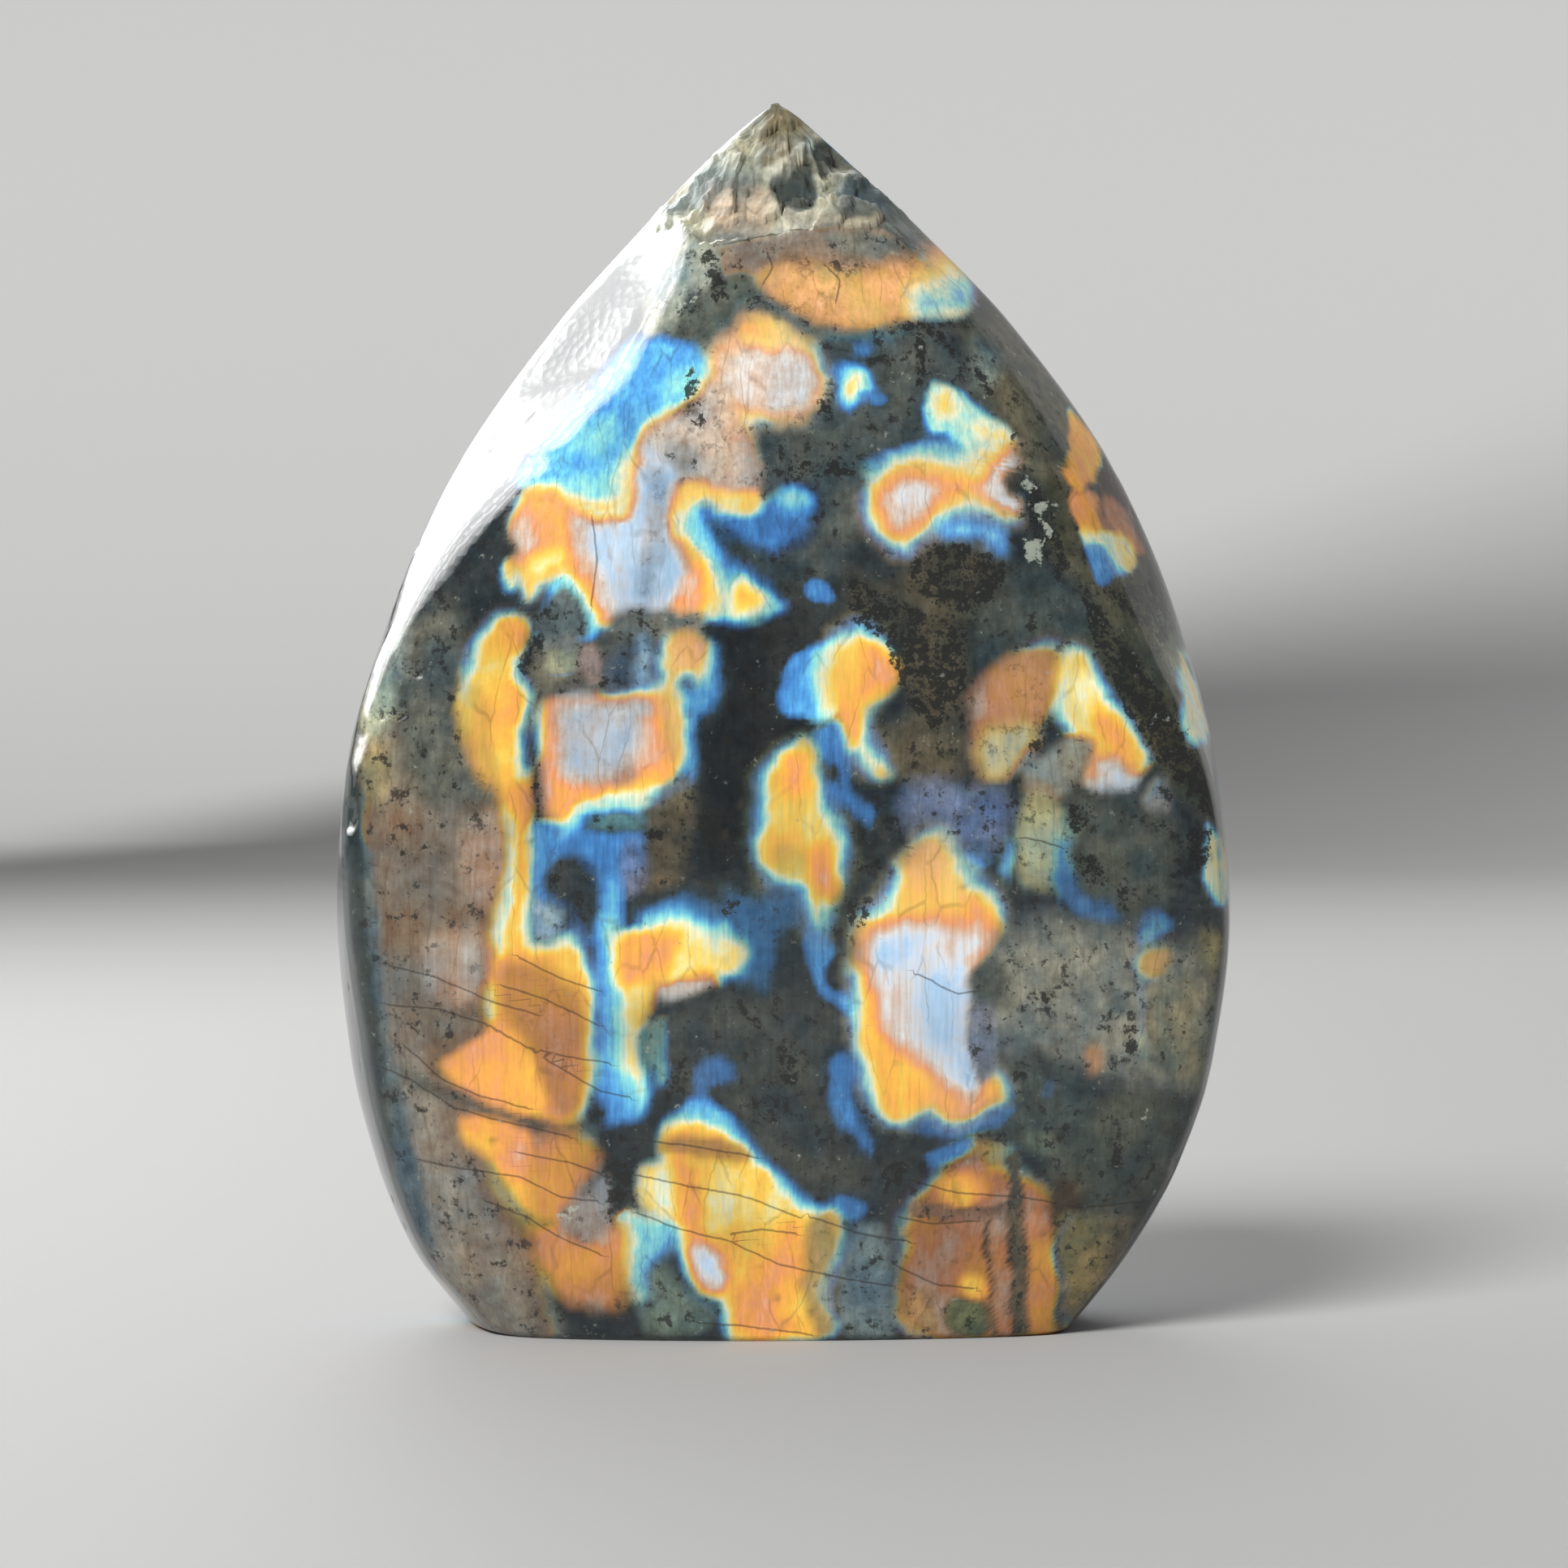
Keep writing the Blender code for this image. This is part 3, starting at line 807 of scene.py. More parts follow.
EAST = (
    Zone("dove west", ORANGE, 0.35, "#92796a", 30, (
        (1195, 870), (1200, 848), (1215, 832), (1235, 808), (1265, 792), (1290, 784), (1312, 800),
        (1302, 840), (1290, 880), (1275, 905), (1240, 960), (1210, 960), (1200, 920),
    ), fringe=0.5),
    Zone("dove west rust", 0.68, 0.4, None, 25, (
        (1215, 855), (1240, 830), (1272, 820), (1280, 860), (1250, 890), (1220, 895),
    )),
    Zone("dove west cream", LEMON, 0.35, "#b5a888", 25, (
        (1202, 905), (1240, 895), (1278, 892), (1270, 930), (1235, 965), (1210, 960),
    )),
    Zone("dove east", CORN, 0.75, "#9c9466", 27, (
        (1308, 808), (1325, 794), (1347, 803), (1358, 830), (1368, 855), (1384, 875), (1400, 900),
        (1414, 930), (1402, 955), (1380, 962), (1350, 967), (1335, 942), (1318, 915),
        (1303, 890), (1298, 860), (1302, 830),
    )),
    Zone("dove east gold", GOLD, 1.0, None, 25, (
        (1318, 835), (1345, 830), (1368, 862), (1366, 888), (1335, 885),
    )),
    Zone("dove east amber", ORANGE, 0.95, None, 25, (
        (1345, 885), (1372, 878), (1405, 920), (1402, 945), (1370, 935),
    )),
    Zone("dove east pearl", PEARL, 0.7, "#b5aea4", 25, (
        (1330, 938), (1362, 932), (1402, 952), (1396, 975), (1350, 975),
    ), fringe=0.1),
    Zone("dove tail", PEARL, 0.15, "#78847a", 20, (
        (1255, 945), (1285, 930), (1335, 905), (1345, 935), (1300, 990), (1262, 990),
    ), fringe=0.2),
    Zone("bevel lemon", LEMON, 1.0, "#c4c08a", 14, (
        (1438, 800), (1456, 795), (1474, 838), (1484, 880), (1492, 918), (1470, 922), (1455, 905),
        (1460, 880), (1454, 850),
    )),
    Zone("bevel moss", None, 0.0, "#7e8470", 16, (
        (1418, 740), (1440, 745), (1456, 790), (1448, 835), (1430, 800),
    )),
    Zone("bevel cream foot", LEMON, 0.6, "#8f8d74", 12, (
        (1486, 1005), (1507, 1028), (1515, 1070), (1515, 1112), (1498, 1120), (1488, 1090),
        (1486, 1050),
    )),
    Zone("sun patch", CORN, 0.2, "#8c9c8c", 27, (
        (1262, 985), (1302, 988), (1316, 1020), (1312, 1042), (1302, 1088), (1262, 1094),
        (1256, 1040),
    ), fringe=0.4),
    Zone("sun patch sky", None, 0.55, "#7aa2a8", 18, (
        (1232, 1036), (1246, 1040), (1246, 1088), (1232, 1085),
    )),
    Zone("reef", COBALT, 0.4, "#46565a", 23, (
        (1303, 1030), (1312, 1060), (1320, 1090), (1340, 1105), (1370, 1110), (1387, 1130),
        (1360, 1142), (1330, 1132), (1308, 1115), (1298, 1080),
    )),
    Zone("reef spark", SKY, 0.4, None, 20, (
        (1408, 1120), (1436, 1122), (1442, 1146), (1416, 1162), (1398, 1166), (1396, 1145),
    )),
    Zone("reef amber", GOLD, 0.3, "#8d8066", 25, (
        (1400, 1170), (1422, 1164), (1440, 1182), (1424, 1208), (1402, 1204),
    )),
    Zone("meadow pearl", None, 0.1, "#a8a39c", 18, (
        (1412, 968), (1436, 962), (1446, 992), (1420, 1000),
    ), fringe=0.4),
    Zone("fog line", AQUA, 0.15, None, 19, (
        (1402, 1205), (1414, 1205), (1416, 1300), (1404, 1302),
    )),
    Zone("fog peach", ORANGE, 0.35, "#84786a", 25, (
        (1335, 1285), (1360, 1285), (1362, 1325), (1340, 1322),
    ), fringe=0.2),
    Zone("fog olive", None, 0.0, "#8a8560", 20, (
        (1476, 1145), (1510, 1145), (1506, 1195), (1480, 1195),
    )),
    Zone("teal blue", COBALT, 0.25, None, 18, (
        (1272, 1328), (1292, 1326), (1294, 1352), (1276, 1354),
    )),
)

SOUTH = (
    Zone("swan", COBALT, 0.55, None, 18, (
        (852, 1320), (862, 1300), (885, 1293), (902, 1308), (908, 1326), (886, 1337),
        (866, 1352), (848, 1346),
    )),
    Zone("south fjord", COBALT, 0.65, "#34485a", 20, (
        (1012, 1310), (1030, 1298), (1047, 1308), (1053, 1332), (1043, 1346), (1053, 1370),
        (1073, 1400), (1078, 1422), (1060, 1417), (1038, 1392), (1022, 1360),
    )),
    Zone("south step", COBALT, 0.75, "#42596a", 18, (
        (1030, 1475), (1055, 1473), (1075, 1480), (1074, 1497), (1060, 1512), (1043, 1507),
        (1033, 1495),
    )),
    Zone("south slate", NIGHT, 0.0, "#84969b", 24, (
        (1036, 1520), (1095, 1510), (1100, 1600), (1108, 1650), (1036, 1650), (1030, 1590),
    )),
    Zone("south blaze", 0.58, 1.0, None, 38, (
        (788, 1440), (820, 1430), (818, 1385), (850, 1372), (890, 1374), (920, 1402),
        (955, 1445), (1000, 1486), (1036, 1494), (1030, 1560), (1018, 1600), (1034, 1655),
        (900, 1660), (880, 1600), (840, 1560), (828, 1515), (796, 1500),
    )),
    Zone("south cap", SKY, 0.9, None, 20, (
        (845, 1356), (870, 1348), (892, 1360), (908, 1378), (895, 1388), (870, 1380),
        (842, 1380),
    )),
    Zone("south lemon", 0.43, 0.95, None, 34, (
        (790, 1445), (820, 1435), (842, 1460), (835, 1500), (800, 1500),
    )),
    Zone("south shade", ORANGE, 0.35, "#8a7a50", 20, (
        (818, 1400), (860, 1400), (902, 1403), (930, 1422), (900, 1428), (850, 1420),
        (820, 1417),
    )),
    Zone("south blush", 0.75, 1.0, None, 31, (
        (828, 1430), (862, 1430), (872, 1480), (862, 1525), (840, 1525), (838, 1480),
    )),
    Zone("south amber", 0.75, 1.0, None, 38, (
        (950, 1505), (990, 1500), (995, 1555), (965, 1600), (970, 1650), (895, 1655),
        (900, 1600), (940, 1570),
    )),
    Zone("south beige", None, 0.25, "#a89a7c", 27, (
        (998, 1500), (1032, 1500), (1034, 1650), (1000, 1650), (992, 1580),
    ), fringe=0.5),
    Zone("south rim", COPPER, 1.0, None, 25, (
        (842, 1530), (870, 1520), (892, 1540), (902, 1580), (890, 1600), (868, 1590),
        (848, 1562),
    )),
    Zone("south heart", LAVENDER, 1.0, "#c5cdd8", 20, (
        (852, 1540), (870, 1534), (882, 1550), (892, 1575), (887, 1592), (870, 1574),
        (855, 1562),
    )),
    Zone("south wedge", None, 0.1, "#70827a", 18, (
        (800, 1558), (830, 1568), (862, 1588), (892, 1608), (882, 1628), (860, 1642),
        (800, 1642), (788, 1612),
    )),
    Zone("teal fall", AQUA, 0.8, "#6f9094", 25, (
        (758, 1490), (790, 1500), (828, 1512), (828, 1545), (800, 1560), (795, 1590),
        (783, 1602), (770, 1562), (778, 1522),
    )),
    Zone("crystal patch", MAUVE, 0.25, "#7f756c", 18, (
        (698, 1490), (722, 1478), (740, 1448), (750, 1450), (754, 1482), (744, 1522),
        (726, 1537), (704, 1522), (688, 1502),
    ), fringe=0.1),
    Zone("south rose", 0.78, 0.42, "#6a4636", 35, (
        (1106, 1515), (1122, 1480), (1145, 1448), (1190, 1428), (1250, 1436), (1300, 1470),
        (1292, 1540), (1308, 1600), (1312, 1650), (1112, 1655), (1104, 1600), (1112, 1560),
    ), fringe=0.8),
    Zone("rose amber", AMBER, 0.95, None, 30, (
        (1155, 1455), (1190, 1445), (1215, 1465), (1200, 1490), (1165, 1490),
    )),
    Zone("rose moss", None, 0.2, "#6d6a4c", 16, (
        (1180, 1410), (1245, 1408), (1262, 1432), (1215, 1434), (1180, 1428),
    )),
    Zone("rose sky", COBALT, 0.7, None, 14, (
        (1132, 1420), (1165, 1408), (1200, 1410), (1170, 1428), (1142, 1440),
    )),
    Zone("rose corn", AMBER, 0.9, None, 23, (
        (1186, 1578), (1206, 1570), (1222, 1585), (1208, 1602), (1190, 1598),
    )),
    Zone("rose grass", None, 0.0, "#737c5c", 14, (
        (1162, 1602), (1195, 1605), (1220, 1602), (1220, 1645), (1165, 1645),
    )),
    Zone("rose brown", None, 0.1, "#b08a58", 18, (
        (1108, 1595), (1150, 1590), (1162, 1650), (1112, 1652),
    )),
    Zone("rose gap", None, 0.0, "#6a6050", 8, (
        (1238, 1425), (1256, 1420), (1262, 1500), (1266, 1645), (1246, 1645), (1243, 1500),
    ), crisp=True),
    Zone("rose split", None, 0.0, "#5f4634", 6, (
        (1217, 1500), (1224, 1500), (1230, 1645), (1222, 1645),
    ), crisp=True),
    Zone("rose band", None, 0.05, "#86695a", 7, (
        (1118, 1488), (1150, 1484), (1215, 1490), (1243, 1484), (1243, 1500), (1212, 1509), (1150, 1503),
        (1120, 1500),
    ), crisp=True),
    Zone("rose dusk", None, 0.0, "#4c4236", 14, (
        (1296, 1440), (1330, 1450), (1335, 1500), (1312, 1560), (1310, 1640), (1298, 1640), (1300, 1540),
    )),
    Zone("olive stripe", None, 0.45, "#a5843f", 10, (
        (1312, 1510), (1328, 1500), (1340, 1540), (1328, 1600), (1314, 1620), (1318, 1560),
    ), fringe=0.3),
    Zone("rose line", None, 0.4, "#8d6e4b", 8, (
        (1224, 1500), (1232, 1500), (1234, 1640), (1224, 1640),
    )),
    Zone("rose pillar", 0.74, 0.6, "#6b4a30", 14, (
        (1264, 1495), (1284, 1490), (1298, 1530), (1300, 1645), (1268, 1645),
    ), fringe=0.5),
    Zone("rose olive", None, 0.1, "#9c8c62", 20, (
        (1304, 1500), (1335, 1500), (1375, 1510), (1350, 1590), (1320, 1620), (1306, 1590),
    )),
    Zone("rose crest", None, 0.25, "#76806c", 14, (
        (1258, 1398), (1282, 1394), (1298, 1404), (1296, 1420), (1266, 1420),
    )),
    Zone("feather lemon", LEMON, 0.25, None, 18, (
        (596, 1432), (625, 1470), (650, 1500), (690, 1502), (684, 1512), (640, 1508),
        (600, 1460),
    )),
)
PATCHES = GROUND + NORTH + WEST + CENTRE + EAST + SOUTH

# Dark mineral grown through the feldspar, and small pale crystals, in the same pixels.
DARK_GRAINS = (
    ((1125, 690), (1150, 668), (1180, 668), (1215, 680), (1238, 692), (1240, 712), (1225, 740),
     (1200, 757), (1165, 752), (1138, 737), (1118, 715)),
    ((1040, 705), (1100, 735), (1160, 765), (1195, 775), (1192, 850), (1155, 905), (1112, 860),
     (1095, 800), (1050, 765)),
    ((1322, 700), (1372, 770), (1440, 862), (1494, 955), (1512, 1020), (1478, 1000), (1405, 915),
     (1348, 800)),
    ((1352, 728), (1400, 718), (1425, 714), (1452, 770), (1436, 800), (1400, 765)),
    ((1090, 400), (1120, 396), (1152, 398), (1182, 430), (1176, 440), (1145, 416), (1120, 414),
     (1095, 414)),
    ((1124, 404), (1140, 404), (1146, 470), (1130, 486)),
    ((1185, 438), (1196, 436), (1228, 482), (1218, 488)),
    ((840, 456), (866, 464), (868, 530), (848, 526)),
    ((864, 308), (884, 306), (898, 368), (880, 376)),
    ((1008, 490), (1026, 488), (1026, 522), (1010, 522)),
    ((960, 568), (1000, 566), (1056, 562), (1056, 584), (1020, 592), (1000, 588), (962, 592)),
    ((1272, 588), (1300, 640), (1318, 700), (1300, 720), (1282, 680), (1262, 645)),
    ((1240, 528), (1252, 528), (1254, 562), (1242, 560)),
    ((795, 1018), (820, 1015), (816, 1040), (796, 1042)),
    ((858, 1000), (892, 1000), (890, 1046), (862, 1040)),
    ((888, 1108), (912, 1108), (912, 1128), (890, 1126)),
    ((785, 1130), (795, 1128), (796, 1148), (786, 1148)),
    ((1042, 1106), (1072, 1108), (1070, 1152), (1046, 1148)),
    ((1062, 1068), (1082, 1068), (1080, 1084), (1064, 1082)),
    ((1318, 988), (1348, 990), (1345, 1012), (1322, 1034), (1312, 1014)),
    ((1312, 1048), (1342, 1050), (1368, 1072), (1366, 1098), (1346, 1094), (1322, 1072)),
    ((1374, 1088), (1392, 1090), (1392, 1124), (1376, 1122)),
    ((1458, 1018), (1492, 1022), (1490, 1052), (1482, 1082), (1440, 1082), (1462, 1052)),
    ((1268, 908), (1288, 908), (1286, 932), (1270, 930)),
    ((1202, 988), (1214, 988), (1230, 1012), (1220, 1014)),
    ((1278, 1212), (1302, 1218), (1300, 1252), (1280, 1250)),
    ((1248, 1308), (1268, 1308), (1268, 1332), (1250, 1332)),
    ((1378, 1258), (1402, 1262), (1402, 1302), (1384, 1300)),
    ((1362, 1398), (1384, 1400), (1382, 1440), (1366, 1438)),
    ((740, 1428), (782, 1430), (776, 1470), (760, 1512), (744, 1506), (752, 1460)),
    ((838, 1298), (850, 1300), (822, 1372), (812, 1368)),
    ((900, 1232), (912, 1230), (955, 1278), (948, 1286)),
    ((958, 1288), (982, 1290), (984, 1342), (964, 1340)),
    ((922, 1350), (962, 1350), (962, 1382), (926, 1380)),
    ((1082, 1428), (1118, 1430), (1114, 1472), (1088, 1470)),
    ((650, 785), (668, 782), (672, 808), (648, 832), (636, 826), (648, 806)),
    ((655, 940), (664, 940), (666, 1018), (656, 1018)),
    ((702, 1098), (718, 1092), (724, 1130), (708, 1128)),
    ((675, 1080), (690, 1078), (690, 1098), (676, 1098)),
    ((492, 812), (522, 824), (516, 838), (490, 826)),
    ((462, 870), (506, 874), (502, 888), (464, 884)),
)
PALE_GRAINS = (
    ((1254, 582), (1268, 578), (1272, 602), (1256, 602)),
    ((1274, 620), (1290, 622), (1288, 642), (1276, 640)),
    ((1284, 646), (1298, 648), (1294, 660), (1284, 658)),
    ((1260, 664), (1286, 666), (1284, 694), (1264, 694)),
    ((686, 1486), (706, 1486), (704, 1506), (688, 1504)),
    ((1410, 1370), (1420, 1370), (1420, 1380), (1410, 1380)),
    ((838, 352), (848, 350), (850, 362), (840, 366)),
    ((852, 358), (864, 356), (862, 372), (852, 370)),
    ((832, 372), (844, 370), (846, 384), (834, 386)),
    ((850, 376), (866, 374), (862, 388), (850, 390)),
)

# Where the stone broke or was chipped: how deep in millimetres, how wide the step's edge is in pixels, and
# its outline. The tip's steps lie one inside another.
CHIPS = (
    (0.45, 6, (
        (700, 60), (800, 150), (850, 262), (862, 296), (900, 294), (950, 285), (999, 277), (1010, 256),
        (1048, 208), (1080, 150), (1000, 60),
    )),
    (0.45, 4, (
        (820, 240), (893, 215), (946, 215), (972, 200), (1012, 168), (1046, 206), (1008, 256),
        (999, 277), (950, 285), (900, 294), (862, 296),
    )),
    (0.55, 4, (
        (950, 221), (969, 206), (999, 183), (1007, 194), (1003, 213), (1001, 251), (984, 259), (961, 251),
    )),
    (-0.35, 4, ((1007, 225), (1026, 213), (1043, 204), (1046, 217), (1029, 240), (1007, 255))),
    (0.35, 6, ((488, 812), (506, 814), (524, 826), (516, 838), (500, 834), (488, 824))),
    (0.35, 6, ((460, 870), (485, 868), (508, 874), (502, 888), (482, 888), (462, 884))),
    (0.45, 8, ((420, 985), (436, 990), (434, 1020), (418, 1024))),
    (0.50, 8, ((1446, 1428), (1466, 1420), (1462, 1448), (1442, 1458))),
)
ROUGH_TIP_TOP, ROUGH_TIP_FOOT = 250, 300  # pixels down where the broken tip ends in the ground face

# Long cracks that cross the lower half, traced from left to right in the same pixels.
CRACKS = (
    ((478, 1238), (540, 1243), (600, 1262), (650, 1290), (700, 1302), (750, 1310)),
    ((600, 1265), (640, 1285), (680, 1310), (740, 1345), (775, 1352)),
    ((470, 1315), (505, 1330), (560, 1365), (620, 1382), (700, 1400)),
    ((500, 1290), (545, 1330), (590, 1350), (650, 1365)),
    ((520, 1430), (570, 1440), (640, 1450), (690, 1475), (735, 1480)),
    ((600, 1480), (650, 1500), (690, 1525), (740, 1545)),
    ((785, 1448), (850, 1462), (920, 1475), (985, 1500)),
    ((785, 1495), (840, 1515), (900, 1530), (960, 1558), (1040, 1575), (1100, 1585)),
    ((900, 1520), (940, 1515), (980, 1520)),
    ((860, 1630), (930, 1635), (1000, 1645)),
    ((1125, 1455), (1180, 1470), (1260, 1475), (1330, 1488), (1420, 1480)),
    ((1105, 1560), (1150, 1582), (1200, 1588)),
    ((640, 1180), (690, 1205), (735, 1220)),
    ((620, 1215), (670, 1230), (735, 1262)),
    ((480, 1190), (540, 1205), (600, 1232), (660, 1250)),
    ((640, 1420), (700, 1432), (740, 1446)),
    ((790, 1405), (850, 1412), (930, 1425)),
    ((1000, 1500), (1060, 1520), (1120, 1530)),
    ((1110, 1500), (1150, 1508), (1200, 1505)),
    ((1262, 1032), (1284, 1036), (1306, 1044)),
    ((730, 640), (736, 690), (728, 745)),
    ((1130, 1200), (1180, 1225), (1200, 1222)),
    ((900, 300), (950, 288), (1000, 280)),
    ((940, 350), (952, 330), (946, 312)),
    ((1020, 330), (1035, 345), (1030, 372)),
)
CRACK_REACH = 26.0  # pixels on each side over which a crack is felt
GRAIN_EDGE = 16.0  # pixels over which a grain fades, to be broken up by the material's own noise
MOST_GRAIN = 0.82  # kept under 1, so that the body shows through wide grains like lace


def srgb(code):
    """A hex colour as the linear values that a shader works in."""
    shares = [int(code[i : i + 2], 16) / 255 for i in (1, 3, 5)]
    return tuple(
        share / 12.92 if share <= 0.04045 else ((share + 0.055) / 1.055) ** 2.4
        for share in shares
    ) + (1.0,)


def ramp(values, start, full):
    """From 0 at the start value to 1 at the full one."""
    return np.clip((values - start) / (full - start), 0, 1)


def drift(points, size, away=(0.0, 0.0, 0.0)):
    """A smooth scatter from about -1 to 1, with swells of a given size."""
    return np.array([noise.noise(Vector(point) / size + Vector(away)) for point in points])


def wander(points, size):
    """Bends of a given size that push what is seen at each point across and down."""
    return np.array([noise.turbulence_vector(Vector(point) / size, 2, False)[:2] for point in points])


def curve_weights(places, count, closed):
    """Weights that read a smooth curve through count points at fractional places along it."""
    start = np.clip(np.floor(places).astype(int), 0, count if closed else count - 2)
    t = places - start
    shares = (
        (-1, (-t + 2 * t**2 - t**3) / 2),
        (0, (2 - 5 * t**2 + 3 * t**3) / 2),
        (1, (t + 4 * t**2 - 3 * t**3) / 2),
        (2, (t**3 - t**2) / 2),
    )
    weights = np.zeros((len(places), count))
    for step, share in shares:
        index = start + step
        index = index % count if closed else np.clip(index, 0, count - 1)
        np.add.at(weights, (np.arange(len(places)), index), share)
    return weights


def cad_rings(node):
    """The stone's horizontal rings from the foot up, each with its points in order round the stone."""
    corners = {tuple(round(c, 6) for c in v.co) for v in node.data.vertices}
    heights = sorted({corner[2] for corner in corners})
    rings, turns = [], []
    for height in heights:
        ring = np.array([corner for corner in corners if corner[2] == height])
        low, high = ring.min(axis=0), ring.max(axis=0)
        middle, half = (low + high) / 2, (high - low) / 2
        turn = np.arctan2(
            (ring[:, 1] - middle[1]) / half[1], (ring[:, 0] - middle[0]) / half[0]
        )
        order = np.argsort(np.where(turn < -1e-4, turn + 2 * math.pi, turn))
        rings.append(ring[order])
        turns.append(np.where(turn < -1e-4, turn + 2 * math.pi, turn)[order])
    most = max(len(ring) for ring in rings)
    whole = [turn for turn in turns if len(turn) == most]
    filled = []
    for ring, turn in zip(rings, turns):
        if len(ring) < most:
            wanted = min(whole, key=lambda other: abs(other[1:-1].mean() - turn[1:-1].mean()))
            ring = np.stack(
                [np.interp(wanted, turn, ring[:, axis], period=2 * math.pi) for axis in range(3)],
                axis=1,
            )
        filled.append(ring)
    return np.array(filled)


def evenly(rows, count):
    """Fractional places that cut a run of points into even lengths."""
    along = np.concatenate([[0], np.cumsum(np.linalg.norm(np.diff(rows, axis=0), axis=1))])
    return np.interp(np.linspace(0, along[-1], count + 1), along, np.arange(len(rows)))


def skin_grid(node):
    """The stone's skin as rows and columns of points, smooth between the CAD's rings."""
    rings = cad_rings(node)
    foot, sides = rings[0], rings[1:]
    points = sides.shape[1]
    widest = sides[np.argmax(np.ptp(sides[:, :, 0], axis=1))]
    half = points // 2
    back = evenly(widest[: half + 1], BACK_COLUMNS)[:-1]
    front = half + evenly(np.vstack([widest[half:], widest[:1]]), FRONT_COLUMNS)[:-1]
    round_stone = curve_weights(np.concatenate([back, front]), points, closed=True)
    rows = evenly(np.stack([np.ptp(sides[:, :, 0], axis=1) / 2, sides[:, 0, 2]], axis=1), SKIN_ROWS)
    up_stone = curve_weights(rows, len(sides), closed=False)
    grid = np.einsum("rs,spa,cp->rca", up_stone, sides, round_stone)
    edge = np.einsum("pa,cp->ca", foot, round_stone)
    return np.concatenate([edge[None], grid])


def grid_normals(grid):
    """Outward directions of a closed grid of points."""
    around = np.roll(grid, -1, axis=1) - np.roll(grid, 1, axis=1)
    up = np.gradient(grid, axis=0)
    normals = np.cross(around, up)
    return normals / np.maximum(np.linalg.norm(normals, axis=2, keepdims=True), 1e-12)


def seen_from_eye(points):
    """Where points land in the portrait, in its pixels."""
    away = points - np.array(EYE)
    ahead = np.array((0.0, math.cos(EYE_PITCH), math.sin(EYE_PITCH)))
    above = np.array((0.0, -math.sin(EYE_PITCH), math.cos(EYE_PITCH)))
    depth = away @ ahead
    across = PORTRAIT_SIDE / 2 + FOCAL_PIXELS * away[:, 0] / depth
    down = PORTRAIT_SIDE / 2 - FOCAL_PIXELS * (away @ above) / depth
    return np.stack([across, down], axis=1)


def facing_eye(points, normals):
    """How squarely each point looks at the portrait's eye, from 1 down to -1."""
    towards = np.array(EYE) - points
    return (towards * normals).sum(axis=1) / np.linalg.norm(towards, axis=1)


def rounded(outline):
    """A closed outline with its corners cut twice, so that few points make a smooth patch."""
    points = np.array(outline, float)
    for _ in range(2):
        after = np.roll(points, -1, axis=0)
        points = np.stack([0.75 * points + 0.25 * after, 0.25 * points + 0.75 * after], axis=1)
        points = points.reshape(-1, 2)
    return points


def inwards(places, outline):
    """How far each place is inside a closed outline, and below zero outside it."""
    nearest = np.full(len(places), np.inf)
    inside = np.zeros(len(places), bool)
    for (x0, y0), (x1, y1) in zip(outline, np.roll(outline, -1, axis=0)):
        run = np.array((x1 - x0, y1 - y0))
        away = places - (x0, y0)
        share = np.clip(away @ run / max(run @ run, 1e-9), 0, 1)
        nearest = np.minimum(nearest, np.linalg.norm(away - share[:, None] * run, axis=1))
        crosses = (y0 > places[:, 1]) != (y1 > places[:, 1])
        inside ^= crosses & (away[:, 0] < run[0] * away[:, 1] / (run[1] if run[1] else 1e-9))
    return np.where(inside, nearest, -nearest)


def lay_patches(places, sway, film, glow, body):
    """Lays the patches one over another, each fading in across its own edge."""
    for zone in PATCHES:
        outline = np.array(zone.outline, float) if zone.crisp else rounded(zone.outline)
        reach = 1.5 * zone.edge  # a lead brings the film in this far outside the outline
        low, high = outline.min(axis=0) - reach, outline.max(axis=0) + reach
        near = np.flatnonzero(((places > low) & (places < high)).all(axis=1))
        depth = inwards(places[near], outline) / zone.edge
        share = np.clip(depth + 0.5, 0, 1)
        if zone.film is not None:
            # With less of a fringe the film is whole before the glow begins, so no rainbow shows.
            lead = np.clip(1 - zone.fringe + sway[near], 0, 1) * np.clip(1 - 1.5 * glow[near], 0, 1)
            film[near] += np.clip(depth + 0.5 + lead, 0, 1) * (zone.film - film[near])
        if zone.glow is not None:
            glow[near] += np.clip(share * 1.8 - 0.3, 0, 1) * (zone.glow - glow[near])
        if zone.body is not None:
            body[near] += share[:, None] * (np.array(srgb(zone.body)[:3]) - body[near])


def crack_field(places):
    """How far each place is above or below the nearest long crack, and how near it is."""
    signed = np.full(len(places), CRACK_REACH)
    nearest = np.full(len(places), np.inf)
    for crack in CRACKS:
        for (x0, y0), (x1, y1) in zip(crack, crack[1:]):
            run = np.array((x1 - x0, y1 - y0), float)
            away = places - (x0, y0)
            share = np.clip(away @ run / (run @ run), 0, 1)
            offset = np.linalg.norm(away - share[:, None] * run, axis=1)
            side = np.sign(run[0] * away[:, 1] - run[1] * away[:, 0])
            closer = offset < nearest
            signed = np.where(closer, side * offset, signed)
            nearest = np.where(closer, offset, nearest)
    return signed, np.clip(1.5 - 2 * nearest / CRACK_REACH, 0, 1)


